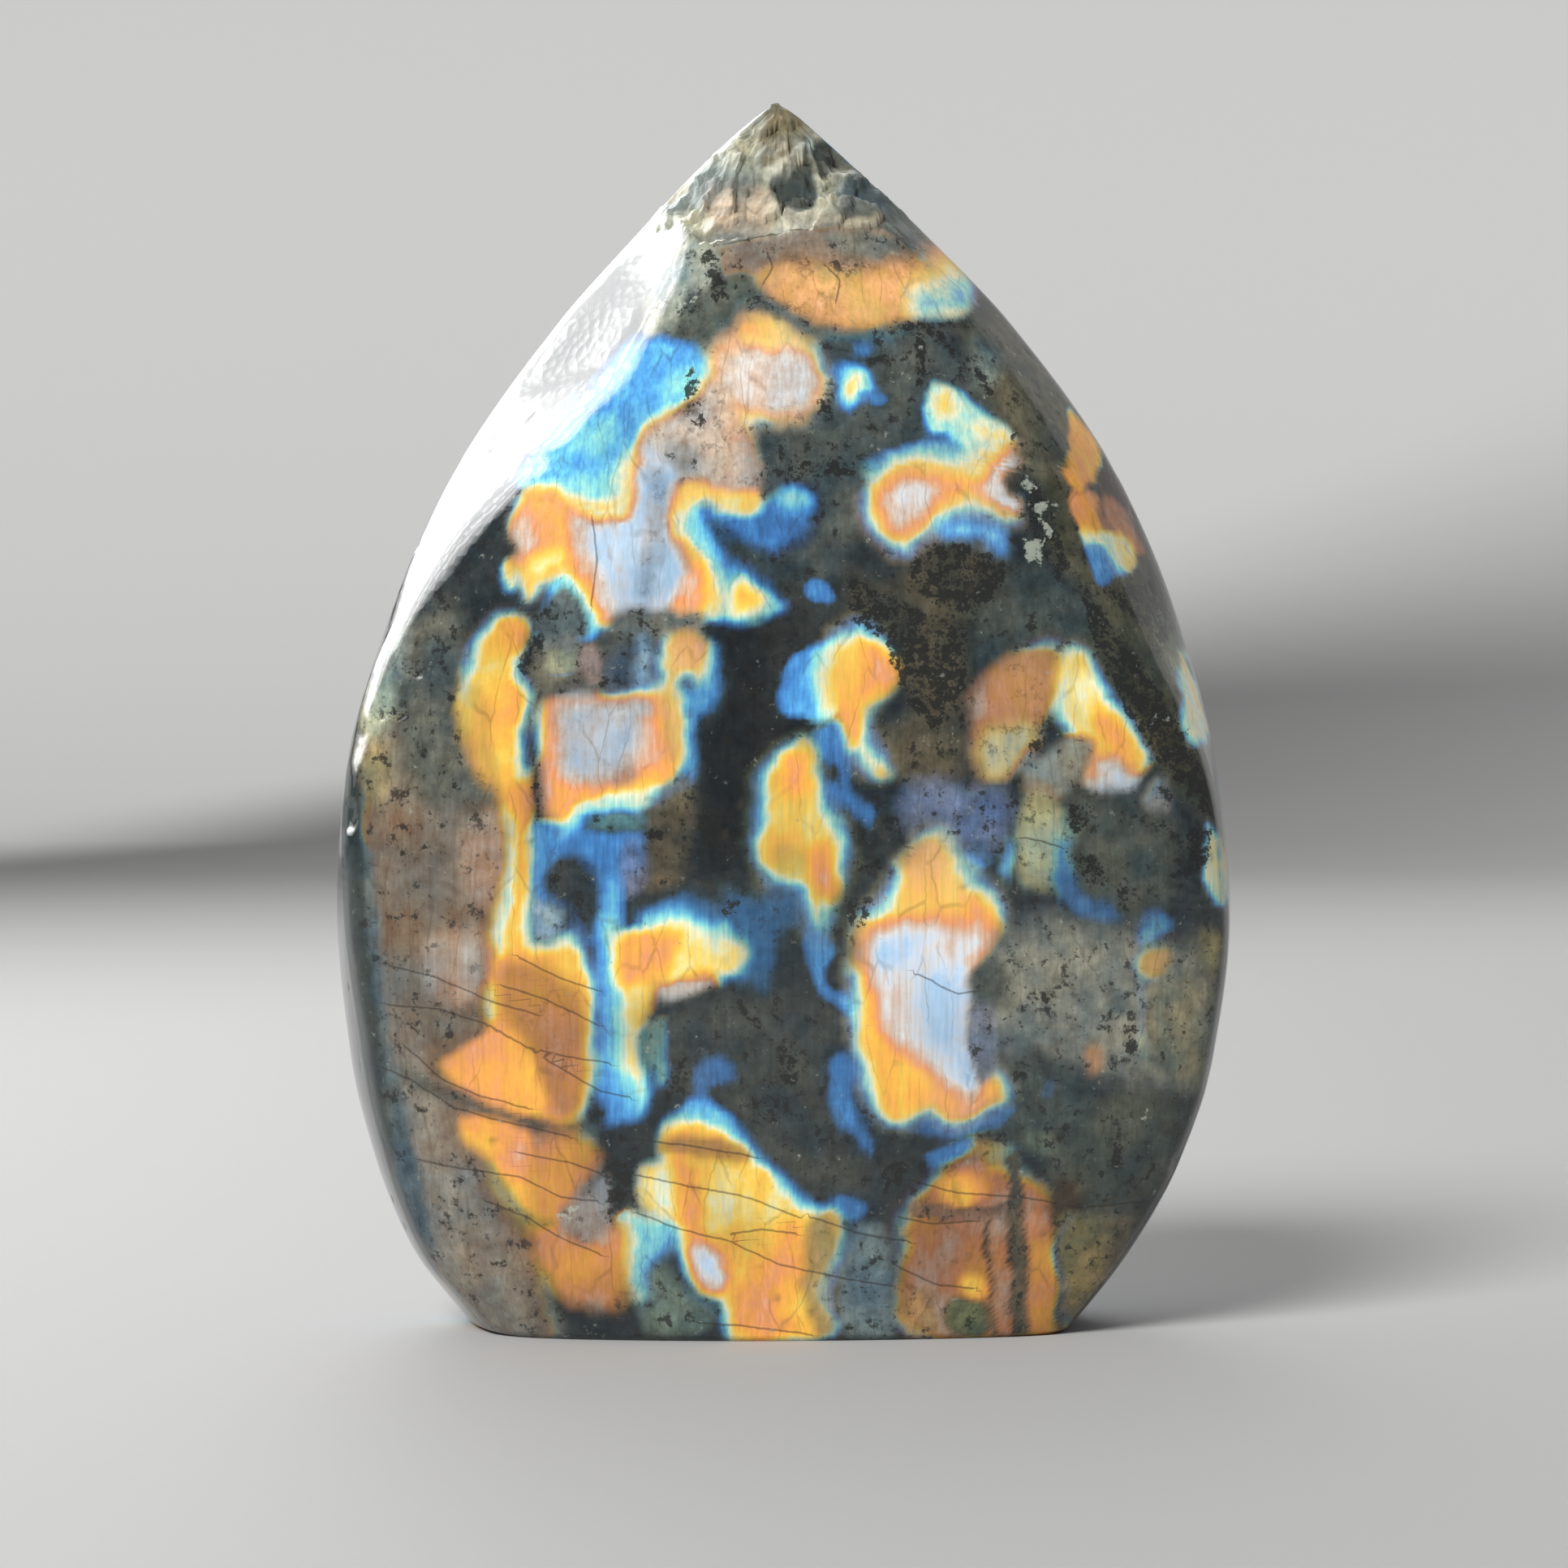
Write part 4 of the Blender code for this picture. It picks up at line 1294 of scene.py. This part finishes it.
def back_patches(points):
    """The film, glow and body of the sides and back: broad drifting patches in a grey-green body."""
    film = np.empty(len(points))
    glow = np.empty(len(points))
    shade = np.empty(len(points))
    for i, point in enumerate(points):
        place = Vector(point) / BACK_PATCH
        push = noise.noise_vector(place * 1.7) * 0.35
        detail = 0.3 * noise.noise(place * 5.2)
        film[i] = 0.5 + 0.7 * noise.noise(place * 1.3 + push + BACK_FILM) + 0.4 * detail
        glow[i] = noise.noise(place * 1.2 + push + BACK_GLOW) + 0.5 * detail
        shade[i] = noise.noise(place * 2.6 + BACK_SHADE)
    film = np.where(glow < 0.1, film * np.clip(glow * 10, 0, 1), film)  # dark films along a patch's edge
    glow = np.clip(glow * 7, 0, 0.9)
    dark, light = np.array(srgb(SLATE)[:3]), np.array(srgb(MOSS)[:3])
    body = dark + np.clip(0.5 + 0.9 * shade, 0, 1)[:, None] * (light - dark)
    return np.clip(film, 0, 1), glow, body


def front_patches(points, places):
    """The film, glow and body of the front, from the outlined patches."""
    film = np.full(len(points), UNLIT_FILM)
    glow = np.zeros(len(points))
    body = np.tile(srgb(UNLIT_FRONT)[:3], (len(points), 1))
    sway = drift(points, FILM_DRIFT)
    bent = places + WIDE_PUSH * wander(points, WIDE_BEND) + FINE_PUSH * wander(points, FINE_BEND)
    lay_patches(bent, sway, film, glow, body)
    film = np.clip(film + 0.12 * sway * np.clip(film * 2.2, 0, 1), 0, 1)
    glow = glow * np.clip(0.94 + 0.5 * drift(points, GLOW_DRIFT, GLOW_AWAY), 0.6, 1.0)
    return film, glow, body


def facet(place):
    """Height of a broken surface: flat facets that each lean their own way."""
    middle = noise.voronoi(place)[1][0]
    lean = noise.cell_vector(middle * 9) * 2 - Vector((1, 1, 1))
    return lean.dot(place - middle)


def broken_tip(places):
    """How far each place belongs to the broken tip, from 0 on the ground face to 1."""
    return ramp(places[:, 1], ROUGH_TIP_FOOT, ROUGH_TIP_TOP)


def chipped(points, normals, places, facing):
    """Points of the front moved inwards where the stone is chipped, and roughened where its tip broke."""
    depth = np.zeros(len(points))
    for deep, edge, outline in CHIPS:
        low, high = np.min(outline, axis=0) - edge, np.max(outline, axis=0) + edge
        near = np.flatnonzero(((places > low) & (places < high)).all(axis=1))
        bent = places[near] + CHIP_PUSH * wander(points[near], CHIP_BEND)
        depth[near] += deep * np.clip(inwards(bent, outline) / edge + 0.5, 0, 1)
    tip = np.flatnonzero(places[:, 1] < ROUGH_TIP_FOOT)
    facets = np.array([facet(Vector(point) / FACET) for point in points[tip]])
    crumbs = np.array([noise.turbulence(Vector(point) / CRUMB, 3, True) for point in points[tip]])
    depth[tip] += broken_tip(places[tip]) * (facets + 0.35 * crumbs - 0.2)
    return points - normals * (depth * ramp(facing, *CHIPS_SHOW) * MM)[:, None]


def grains(places, outlines):
    """How deep each place lies in the nearest grain, with soft edges."""
    share = np.zeros(len(places))
    for outline in outlines:
        low = np.min(outline, axis=0) - GRAIN_EDGE
        high = np.max(outline, axis=0) + GRAIN_EDGE
        near = np.flatnonzero(((places > low) & (places < high)).all(axis=1))
        depth = inwards(places[near], outline)
        share[near] = np.maximum(share[near], np.clip(depth / GRAIN_EDGE + 0.5, 0, MOST_GRAIN))
    return share


def write_attribute(mesh, name, kind, values):
    """Stores one value a point on a mesh, for the material to read."""
    field = "color" if kind == "FLOAT_COLOR" else "value"
    layer = mesh.attributes.new(name, kind, "POINT")
    layer.data.foreach_set(field, values.astype(np.float32).ravel())


def skin_mesh(grid):
    """The grid of points as one closed mesh: quads all round, a flat foot and a small cap at the tip."""
    rows, columns = grid.shape[:2]
    index = np.arange(rows * columns).reshape(rows, columns)
    after = np.roll(index, -1, axis=1)
    quads = np.stack([index[:-1], after[:-1], after[1:], index[1:]], axis=2).reshape(-1, 4)
    mesh = bpy.data.meshes.new("labradorite_stone")
    mesh.from_pydata(
        grid.reshape(-1, 3),
        [],
        [*quads.tolist(), index[0, ::-1].tolist(), index[-1].tolist()],
    )
    mesh.shade_smooth()
    return mesh


def colour_stone(mesh, points, front):
    """Paints the film, its glow and the body's colour on the stone's points."""
    places = seen_from_eye(points)
    film, glow, body = front_patches(points, places)
    back_film, back_glow, back_body = back_patches(points)
    film = back_film + front * (film - back_film)
    glow = back_glow + front * (glow - back_glow)
    body = back_body + front[:, None] * (body - back_body)
    crack, near = crack_field(places)
    write_attribute(mesh, "film", "FLOAT", film)
    write_attribute(mesh, "glow", "FLOAT", glow)
    write_attribute(mesh, "crack", "FLOAT", crack)
    write_attribute(mesh, "crack_near", "FLOAT", near * front)
    write_attribute(mesh, "dark_grain", "FLOAT", grains(places, DARK_GRAINS) * front)
    write_attribute(mesh, "pale_grain", "FLOAT", grains(places, PALE_GRAINS) * front)
    write_attribute(mesh, "matt", "FLOAT", broken_tip(places))
    write_attribute(mesh, "body", "FLOAT_COLOR", np.hstack([body, np.ones((len(points), 1))]))


def add(tree, kind, inputs, **settings):
    """Adds one node with its settings. An input is a value, a socket, or a node for its first output."""
    node = tree.nodes.new(kind)
    for name, value in settings.items():
        setattr(node, name, value)
    for socket, value in inputs.items():
        if isinstance(value, bpy.types.Node):
            value = value.outputs[0]
        if isinstance(value, bpy.types.NodeSocket):
            tree.links.new(value, node.inputs[socket])
        else:
            node.inputs[socket].default_value = value
    return node


def crystal_scatters(tree, place):
    """The crystal's own patterns, by name. The tall ones run upright, as its twins do."""
    scatters = {}
    for name, size, stretch, detail, roughness in SCATTERS:
        scale = 1 / (size * MM)
        upright = add(
            tree, "ShaderNodeMapping", {"Vector": place, "Scale": (scale, scale, scale / stretch)}
        )
        scatters[name] = add(
            tree,
            "ShaderNodeTexNoise",
            {"Vector": upright, "Scale": 1.0, "Detail": detail, "Roughness": roughness},
        )
    return scatters


def film_layers(tree, film, scatters):
    """How far the film's colours have run at each place, swayed by the crystal's patterns."""
    for name, sway in FILM_SWAYS:
        film = add(
            tree, "ShaderNodeMath", {0: scatters[name], 1: sway, 2: film}, operation="MULTIPLY_ADD"
        )
    middle = sum(sway for name, sway in FILM_SWAYS) / 2
    return add(tree, "ShaderNodeMath", {0: film, 1: middle}, operation="SUBTRACT")


def film_colour(tree, layers):
    """The clear colour that the film flashes in."""
    colours = add(tree, "ShaderNodeValToRGB", {"Fac": layers})
    stops = colours.color_ramp.elements
    while len(stops) < len(FILM_COLOURS):
        stops.new(1.0)
    for stop, (position, colour) in zip(stops, FILM_COLOURS):
        stop.position = position
        stop.color = srgb(colour)
    return colours


def smoky_body(tree, body, scatters, grain):
    """The body's own colour in warm and cool blotches, with a darker mottle."""
    shade = add(
        tree,
        "ShaderNodeMapRange",
        {
            "Value": scatters["mottle"],
            "From Min": 0.3,
            "From Max": 0.7,
            "To Min": 0.46,
            "To Max": 1.05,
        },
    )
    dull = add(tree, "ShaderNodeMath", {0: shade, 1: grain}, operation="MULTIPLY")
    tint = add(tree, "ShaderNodeValToRGB", {"Fac": scatters["blotch"]})
    for stop, (position, colour) in zip(tint.color_ramp.elements, BLOTCH_TINTS):
        stop.position = position
        stop.color = colour
    tinted = add(tree, "ShaderNodeVectorMath", {0: body, 1: tint}, operation="MULTIPLY")
    return add(tree, "ShaderNodeVectorMath", {0: tinted, "Scale": dull}, operation="SCALE")


def crack_lines(tree, crack, near, mottle):
    """A thin line along each long crack, which wobbles with the mottle."""
    wobble = add(tree, "ShaderNodeMath", {0: mottle, 1: 5.0, 2: -2.5}, operation="MULTIPLY_ADD")
    offset = add(tree, "ShaderNodeMath", {0: crack, 1: wobble}, operation="ADD")
    away = add(tree, "ShaderNodeMath", {0: offset}, operation="ABSOLUTE")
    thin = add(
        tree,
        "ShaderNodeMapRange",
        {"Value": away, "From Min": 0.6, "From Max": 1.8, "To Min": 0.6, "To Max": 0.0},
    )
    return add(tree, "ShaderNodeMath", {0: thin, 1: near}, operation="MULTIPLY")


def hairline_joints(tree, place, blotch):
    """Faint joints between the crystal's leaning blocks, in some of the blotches."""
    push = add(tree, "ShaderNodeTexNoise", {"Vector": place, "Scale": 1 / JOINT_SWELL, "Detail": 3.0})
    bent = add(
        tree,
        "ShaderNodeMix",
        {0: JOINT_BEND, 4: place, 5: push.outputs["Color"]},
        data_type="VECTOR",
    ).outputs[1]
    blocks = add(
        tree,
        "ShaderNodeMapping",
        {
            "Vector": bent,
            "Rotation": (0.0, JOINT_LEAN, 0.0),
            "Scale": [1 / size for size in JOINT_BLOCK],
        },
    )
    away = add(
        tree, "ShaderNodeTexVoronoi", {"Vector": blocks, "Scale": 1.0}, feature="DISTANCE_TO_EDGE"
    )
    thin = add(
        tree,
        "ShaderNodeMapRange",
        {"Value": away, "From Min": 0.01, "From Max": 0.035, "To Min": 0.26, "To Max": 0.0},
    )
    patchy = add(
        tree, "ShaderNodeMapRange", {"Value": blotch, "From Min": 0.42, "From Max": 0.58}
    )
    return add(tree, "ShaderNodeMath", {0: thin, 1: patchy}, operation="MULTIPLY")


def grain_share(tree, depth, ragged, most):
    """How much of a grain shows, its edge broken up like lace."""
    broken = add(tree, "ShaderNodeMath", {0: ragged, 1: -4.0, 2: depth}, operation="MULTIPLY_ADD")
    return add(
        tree,
        "ShaderNodeMapRange",
        {"Value": broken, "From Min": -1.35, "From Max": -1.2, "To Max": most},
    )


def dust(tree, ragged, dim, start, full, most):
    """Specks from one end of the ragged pattern, in the dim parts of the stone alone."""
    specks = add(
        tree,
        "ShaderNodeMapRange",
        {"Value": ragged, "From Min": start, "From Max": full, "To Max": most},
    )
    return add(tree, "ShaderNodeMath", {0: specks, 1: dim}, operation="MULTIPLY")


def polished_labradorite(settings):
    """Labradorite, a feldspar, sawn from the rough, ground to its faces and polished by hand.

    The polish is glassy, with a faint orange peel that breaks a mirrored lamp into dots. Below it lies a
    smoky grey-green body. Where the crystal's thin layers are even it flashes in patches of clear colour,
    which the fine upright lines of its twins run through. The broken tip was never polished, and is matt.
    """
    material = bpy.data.materials.new("polished_labradorite")
    material.use_nodes = True
    tree = material.node_tree
    shader = tree.nodes["Principled BSDF"]
    place = add(tree, "ShaderNodeTexCoord", {}).outputs["Object"]
    body = add(tree, "ShaderNodeAttribute", {}, attribute_name="body").outputs["Color"]
    film, glow, crack, near, dark, pale, matt, pit = [
        add(tree, "ShaderNodeAttribute", {}, attribute_name=name).outputs["Fac"]
        for name in (
            "film", "glow", "crack", "crack_near", "dark_grain", "pale_grain", "matt", "pit"
        )
    ]
    scatters = crystal_scatters(tree, place)
    ragged = scatters["ragged"]
    layers = film_layers(tree, film, scatters)
    lit = add(
        tree,
        "ShaderNodeMapRange",
        {"Value": layers, "From Min": 0.03, "From Max": 0.14},
        interpolation_type="SMOOTHSTEP",
    )
    strength = add(tree, "ShaderNodeMath", {0: glow, 1: lit}, operation="MULTIPLY")
    grain = add(
        tree,
        "ShaderNodeMapRange",
        {
            "Value": scatters["twins"],
            "From Min": 0.3,
            "From Max": 0.7,
            "To Min": 0.86,
            "To Max": 1.1,
        },
    )
    flash = add(
        tree,
        "ShaderNodeVectorMath",
        {0: film_colour(tree, layers), "Scale": grain},
        operation="SCALE",
    )
    spared = add(tree, "ShaderNodeMath", {0: strength, 1: matt}, operation="ADD")
    dim = add(
        tree,
        "ShaderNodeMapRange",
        {"Value": spared, "From Min": 0.1, "From Max": 0.5, "To Min": 0.85, "To Max": 0.0},
    )
    # Painted shade: each pit is darkened towards umber, the more the deeper a point lies in it.
    shadow = add(tree, "ShaderNodeMath", {0: pit, 1: 0.55}, operation="MULTIPLY")
    colour = smoky_body(tree, body, scatters, grain)
    for share, over in (
        (strength, flash),
        (crack_lines(tree, crack, near, scatters["mottle"]), srgb(CRACK_BROWN)),
        (hairline_joints(tree, place, scatters["blotch"]), srgb(JOINT_BROWN)),
        (grain_share(tree, dark, ragged, 0.92), srgb(SOOT)),
        (grain_share(tree, pale, ragged, 0.6), srgb(PALE_CRUST)),
        (dust(tree, ragged, dim, 0.555, 0.61, 1.0), srgb(SOOT)),
        (shadow, srgb(PIT_SHADE_UMBER)),
        (dust(tree, ragged, dim, 0.39, 0.33, 0.3), srgb(CHALK)),
    ):
        colour = add(
            tree, "ShaderNodeMix", {0: share, 6: colour, 7: over}, data_type="RGBA"
        ).outputs[2]
    dimples = add(
        tree, "ShaderNodeTexVoronoi", {"Vector": place, "Scale": 1 / DIMPLE, "Randomness": 0.6}
    )
    peel = add(tree, "ShaderNodeBump", {"Height": dimples, "Strength": 1.0, "Distance": DIMPLE_DEPTH})
    gloss = add(
        tree, "ShaderNodeMapRange", {"Value": matt, "To Min": settings.polish, "To Max": BROKEN_ROUGHNESS}
    )
    tree.links.new(colour, shader.inputs["Base Color"])
    tree.links.new(peel.outputs["Normal"], shader.inputs["Normal"])
    tree.links.new(gloss.outputs["Result"], shader.inputs["Roughness"])
    shader.inputs["IOR"].default_value = FELDSPAR_IOR
    return material


def pitted(tree_name):
    """Geometry nodes that scatter small pits over a skin and stamp how deep each point lies in one."""
    tree = bpy.data.node_groups.new(tree_name, "GeometryNodeTree")
    for name, kind in (
        ("Skin", "Geometry"),
        ("Pits per square metre", "Float"),
        ("Pit Radius", "Float"),
        ("Pit Depth", "Float"),
        ("Seed", "Int"),
        ("Finish", "Material"),
    ):
        tree.interface.new_socket(name, in_out="INPUT", socket_type="NodeSocket" + kind)
    tree.interface.new_socket("Pitted Skin", in_out="OUTPUT", socket_type="NodeSocketGeometry")
    given = add(tree, "NodeGroupInput", {}).outputs
    centres = add(
        tree,
        "GeometryNodeDistributePointsOnFaces",
        {"Mesh": given["Skin"], "Density": given["Pits per square metre"], "Seed": given["Seed"]},
        distribute_method="RANDOM",
    )
    away = add(tree, "GeometryNodeProximity", {0: centres}, target_element="POINTS").outputs["Distance"]
    bowl = add(
        tree,
        "ShaderNodeMapRange",
        {"Value": away, "From Max": given["Pit Radius"], "To Min": 1.0, "To Max": 0.0},
        interpolation_type="SMOOTHSTEP",
    )
    depth = add(tree, "ShaderNodeMath", {0: bowl, 1: given["Pit Depth"]}, operation="MULTIPLY")
    inward = add(tree, "ShaderNodeMath", {0: depth, 1: -1.0}, operation="MULTIPLY")
    outward = add(tree, "GeometryNodeInputNormal", {}).outputs["Normal"]
    offset = add(tree, "ShaderNodeVectorMath", {0: outward, "Scale": inward}, operation="SCALE")
    sunk = add(tree, "GeometryNodeSetPosition", {"Geometry": given["Skin"], "Offset": offset})
    stamped = add(
        tree,
        "GeometryNodeStoreNamedAttribute",
        {"Geometry": sunk, "Name": "pit", "Value": bowl},
        data_type="FLOAT",
        domain="POINT",
    )
    real = add(tree, "GeometryNodeRealizeInstances", {"Geometry": stamped})
    done = add(tree, "GeometryNodeSetMaterial", {"Geometry": real, "Material": given["Finish"]})
    add(tree, "NodeGroupOutput", {"Pitted Skin": done})
    return tree


def run_tree(obj, tree, values):
    """Runs a geometry tree on an object and keeps its result as the object's plain mesh."""
    modifier = obj.modifiers.new(tree.name, "NODES")
    modifier.node_group = tree
    for socket in tree.interface.items_tree:
        if socket.name in values:
            modifier[socket.identifier] = values[socket.name]
    graph = bpy.context.evaluated_depsgraph_get()
    mesh = bpy.data.meshes.new_from_object(obj.evaluated_get(graph))
    obj.modifiers.remove(modifier)
    obj.data = mesh


class StoneSettings(bpy.types.PropertyGroup):
    """The stone's polish and its pits."""

    polish: bpy.props.FloatProperty(
        name="Polish",
        description="Roughness of the polished faces",
        default=0.07,
        min=0,
        max=1,
        subtype="FACTOR",
    )
    pit_radius: bpy.props.FloatProperty(
        name="Pit Radius",
        description="How far a small pit reaches",
        default=0.55 * MM,
        unit="LENGTH",
        precision=5,
    )
    pit_depth: bpy.props.FloatProperty(
        name="Pit Depth",
        description="How deep a small pit is",
        default=0.12 * MM,
        unit="LENGTH",
        precision=5,
    )
    pits: bpy.props.FloatProperty(
        name="Pits", description="Small pits on a square metre", default=6000.0, min=0
    )
    seed: bpy.props.IntProperty(
        name="Seed", description="Which scatter of pits and wander of edges", default=4, min=1
    )


class StageSettings(bpy.types.PropertyGroup):
    """The floor and the lights."""

    floor_colour: bpy.props.FloatVectorProperty(
        name="Floor",
        description="Colour of the floor",
        subtype="COLOR",
        size=4,
        default=srgb("#b4b4b3"),
        min=0,
        max=1,
    )
    panel_glow: bpy.props.FloatProperty(
        name="Panel",
        description="Strength of the lamp panel that the left bevel mirrors",
        default=8.5,
        min=0,
    )
    daylight: bpy.props.FloatProperty(
        name="Daylight", description="Strength of the soft light from the front left", default=3.5, min=0
    )


class LABRADORITE_OT_stone(bpy.types.Operator):
    """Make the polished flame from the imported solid's rings"""

    bl_idname = "labradorite.stone"
    bl_label = "Labradorite Stone"

    def execute(self, context):
        node = frame["nodes"].get(NODE)
        if node is None:
            raise RuntimeError("The frame has no flame_stone to dress")
        settings = context.scene.labradorite_stone
        noise.seed_set(settings.seed)  # or the clock would seed it, and each stone would be another
        grid = skin_grid(node)
        points = grid.reshape(-1, 3)
        normals = grid_normals(grid).reshape(-1, 3)
        facing = facing_eye(points, normals)
        front = ramp(facing, *PATCHES_SHOW)
        worn = chipped(points, normals, seen_from_eye(points), facing)
        mesh = skin_mesh(worn.reshape(grid.shape))
        colour_stone(mesh, points, front)
        stone = bpy.data.objects.new("labradorite_stone", mesh)
        context.scene.collection.objects.link(stone)
        values = {
            "Pits per square metre": settings.pits,
            "Pit Radius": settings.pit_radius,
            "Pit Depth": settings.pit_depth,
            "Seed": settings.seed,
            "Finish": polished_labradorite(settings),
        }
        run_tree(stone, pitted("Stone Pits"), values)
        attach(stone, "root")
        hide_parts(NODE)
        return {"FINISHED"}


def frosted_acrylic_over_lamps(glow):
    """Acrylic, cast in a sheet and frosted by sanding, with a grid of lamps behind it.

    The frost spreads their light, so the eye sees one even glow that is a little brighter over each lamp
    and dies away towards the sheet's edges.
    """
    material = bpy.data.materials.new("frosted_acrylic_over_lamps")
    material.use_nodes = True
    tree = material.node_tree
    tree.nodes.clear()
    place = add(tree, "ShaderNodeTexCoord", {}).outputs["Object"]
    split = add(tree, "ShaderNodeSeparateXYZ", {"Vector": place}).outputs
    power = glow
    for axis, half in zip("XY", PANEL_HALF):
        away = add(tree, "ShaderNodeMath", {0: split[axis]}, operation="ABSOLUTE")
        fade = add(
            tree,
            "ShaderNodeMapRange",
            {"Value": away, "From Min": 0.55 * half, "From Max": half, "To Min": 1.0, "To Max": 0.0},
            interpolation_type="SMOOTHSTEP",
        )
        power = add(tree, "ShaderNodeMath", {0: fade, 1: power}, operation="MULTIPLY")
    beyond = add(
        tree,
        "ShaderNodeTexVoronoi",
        {"Vector": place, "Scale": 1 / LAMP_SPACING, "Randomness": 0.0},
    )
    lamps = add(
        tree,
        "ShaderNodeMapRange",
        {"Value": beyond, "From Min": 0.2, "From Max": 0.45, "To Min": 1.6, "To Max": 1.0},
    )
    power = add(tree, "ShaderNodeMath", {0: power, 1: lamps}, operation="MULTIPLY")
    light = add(tree, "ShaderNodeEmission", {"Strength": power})
    add(tree, "ShaderNodeOutputMaterial", {"Surface": light})
    return material


def lamp_panel(glow):
    """A glowing panel to the left, behind and above, whose mirror image lights up the left bevel."""
    wide, high = PANEL_HALF
    mesh = bpy.data.meshes.new("lamp_panel")
    mesh.from_pydata(
        [(-wide, -high, 0), (wide, -high, 0), (wide, high, 0), (-wide, high, 0)], [], [(0, 1, 2, 3)]
    )
    mesh.materials.append(frosted_acrylic_over_lamps(glow))
    panel = bpy.data.objects.new("lamp_panel", mesh)
    panel.location = PANEL_PLACE
    panel.rotation_euler = (PANEL_AIM - PANEL_PLACE).to_track_quat("Z", "Y").to_euler()
    panel.visible_camera = False
    panel.visible_diffuse = False  # it gives the bevel its mirror image and leaves the floor alone
    bpy.context.scene.collection.objects.link(panel)


def matt_painted_board(colour):
    """Board with matt paint rolled on: one even pale grey, which mirrors next to nothing."""
    material = bpy.data.materials.new("matt_painted_board")
    material.use_nodes = True
    shader = material.node_tree.nodes["Principled BSDF"]
    shader.inputs["Base Color"].default_value = colour
    shader.inputs["Roughness"].default_value = 0.7
    shader.inputs["Specular IOR Level"].default_value = 0.05
    return material


def pale_floor(colour):
    """A plain floor that rises behind the stone into its own backdrop."""
    turns = [math.radians(90 * i / SWEEP_STEPS) for i in range(SWEEP_STEPS + 1)]
    profile = [
        (-FLOOR_HALF, 0.0),
        *((SWEEP_START + SWEEP * math.sin(turn), SWEEP * (1 - math.cos(turn))) for turn in turns),
        (SWEEP_START + SWEEP, FLOOR_HALF),
    ]
    corners = [(side, out, up) for out, up in profile for side in (-FLOOR_HALF, FLOOR_HALF)]
    strips = [(i, i + 1, i + 3, i + 2) for i in range(0, len(corners) - 2, 2)]
    mesh = bpy.data.meshes.new("floor")
    mesh.from_pydata(corners, [], strips)
    mesh.shade_smooth()
    mesh.materials.append(matt_painted_board(colour))
    floor = bpy.data.objects.new("floor", mesh)
    bpy.context.scene.collection.objects.link(floor)


def soft_light(strength):
    """An even grey surround, and wide soft daylight from the front left."""
    world = bpy.data.worlds.new("pale_surround")
    world.use_nodes = True
    backdrop = world.node_tree.nodes["Background"]
    backdrop.inputs["Color"].default_value = srgb(SURROUND_GREY)
    backdrop.inputs["Strength"].default_value = SURROUND_STRENGTH
    bpy.context.scene.world = world
    daylight = bpy.data.lights.new("daylight", "SUN")
    daylight.energy = strength
    daylight.angle = DAYLIGHT_WIDTH
    holder = bpy.data.objects.new("daylight", daylight)
    holder.rotation_euler = DAYLIGHT_TURN
    holder.visible_glossy = False  # its mirror image would lie on the broad face
    bpy.context.scene.collection.objects.link(holder)


def portrait_camera():
    """A long lens at the portrait's eye, which looks a little downwards."""
    camera = bpy.data.cameras.new("portrait")
    camera.sensor_width = SENSOR_MM
    camera.lens = FOCAL_PIXELS * SENSOR_MM / PORTRAIT_SIDE
    camera.clip_start = 0.01
    eye = bpy.data.objects.new("portrait", camera)
    eye.location = EYE
    eye.rotation_euler = (math.pi / 2 + EYE_PITCH, 0.0, 0.0)
    bpy.context.scene.collection.objects.link(eye)
    bpy.context.scene.camera = eye


class LABRADORITE_OT_stage(bpy.types.Operator):
    """Set the pale floor, the soft lights and the portrait's camera"""

    bl_idname = "labradorite.stage"
    bl_label = "Stage"

    def execute(self, context):
        settings = context.scene.labradorite_stage
        pale_floor(settings.floor_colour)
        lamp_panel(settings.panel_glow)
        soft_light(settings.daylight)
        portrait_camera()
        context.scene.view_settings.view_transform = "Standard"
        return {"FINISHED"}


class LABRADORITE_PT_panel(bpy.types.Panel):
    """The stone and its stage, with their settings"""

    bl_idname = "LABRADORITE_PT_panel"
    bl_label = "Labradorite Flame"
    bl_space_type = "VIEW_3D"
    bl_region_type = "UI"
    bl_category = "Labradorite"

    def draw(self, context):
        stone, stage = context.scene.labradorite_stone, context.scene.labradorite_stage
        for name in ("polish", "pits", "pit_radius", "pit_depth", "seed"):
            self.layout.prop(stone, name)
        self.layout.operator(LABRADORITE_OT_stone.bl_idname)
        for name in ("floor_colour", "panel_glow", "daylight"):
            self.layout.prop(stage, name)
        self.layout.operator(LABRADORITE_OT_stage.bl_idname)


CLASSES = (
    StoneSettings,
    StageSettings,
    LABRADORITE_OT_stone,
    LABRADORITE_OT_stage,
    LABRADORITE_PT_panel,
)


def register():
    for each in CLASSES:
        bpy.utils.register_class(each)
    bpy.types.Scene.labradorite_stone = bpy.props.PointerProperty(type=StoneSettings)
    bpy.types.Scene.labradorite_stage = bpy.props.PointerProperty(type=StageSettings)


def unregister():
    del bpy.types.Scene.labradorite_stone
    del bpy.types.Scene.labradorite_stage
    for each in reversed(CLASSES):
        bpy.utils.unregister_class(each)


def main():
    for old in list(bpy.data.objects):
        if old.name in ("Cube", "Light", "Camera"):
            bpy.data.objects.remove(old)
    register()
    bpy.ops.labradorite.stone()
    bpy.ops.labradorite.stage()


if __name__ == "__main__":
    main()
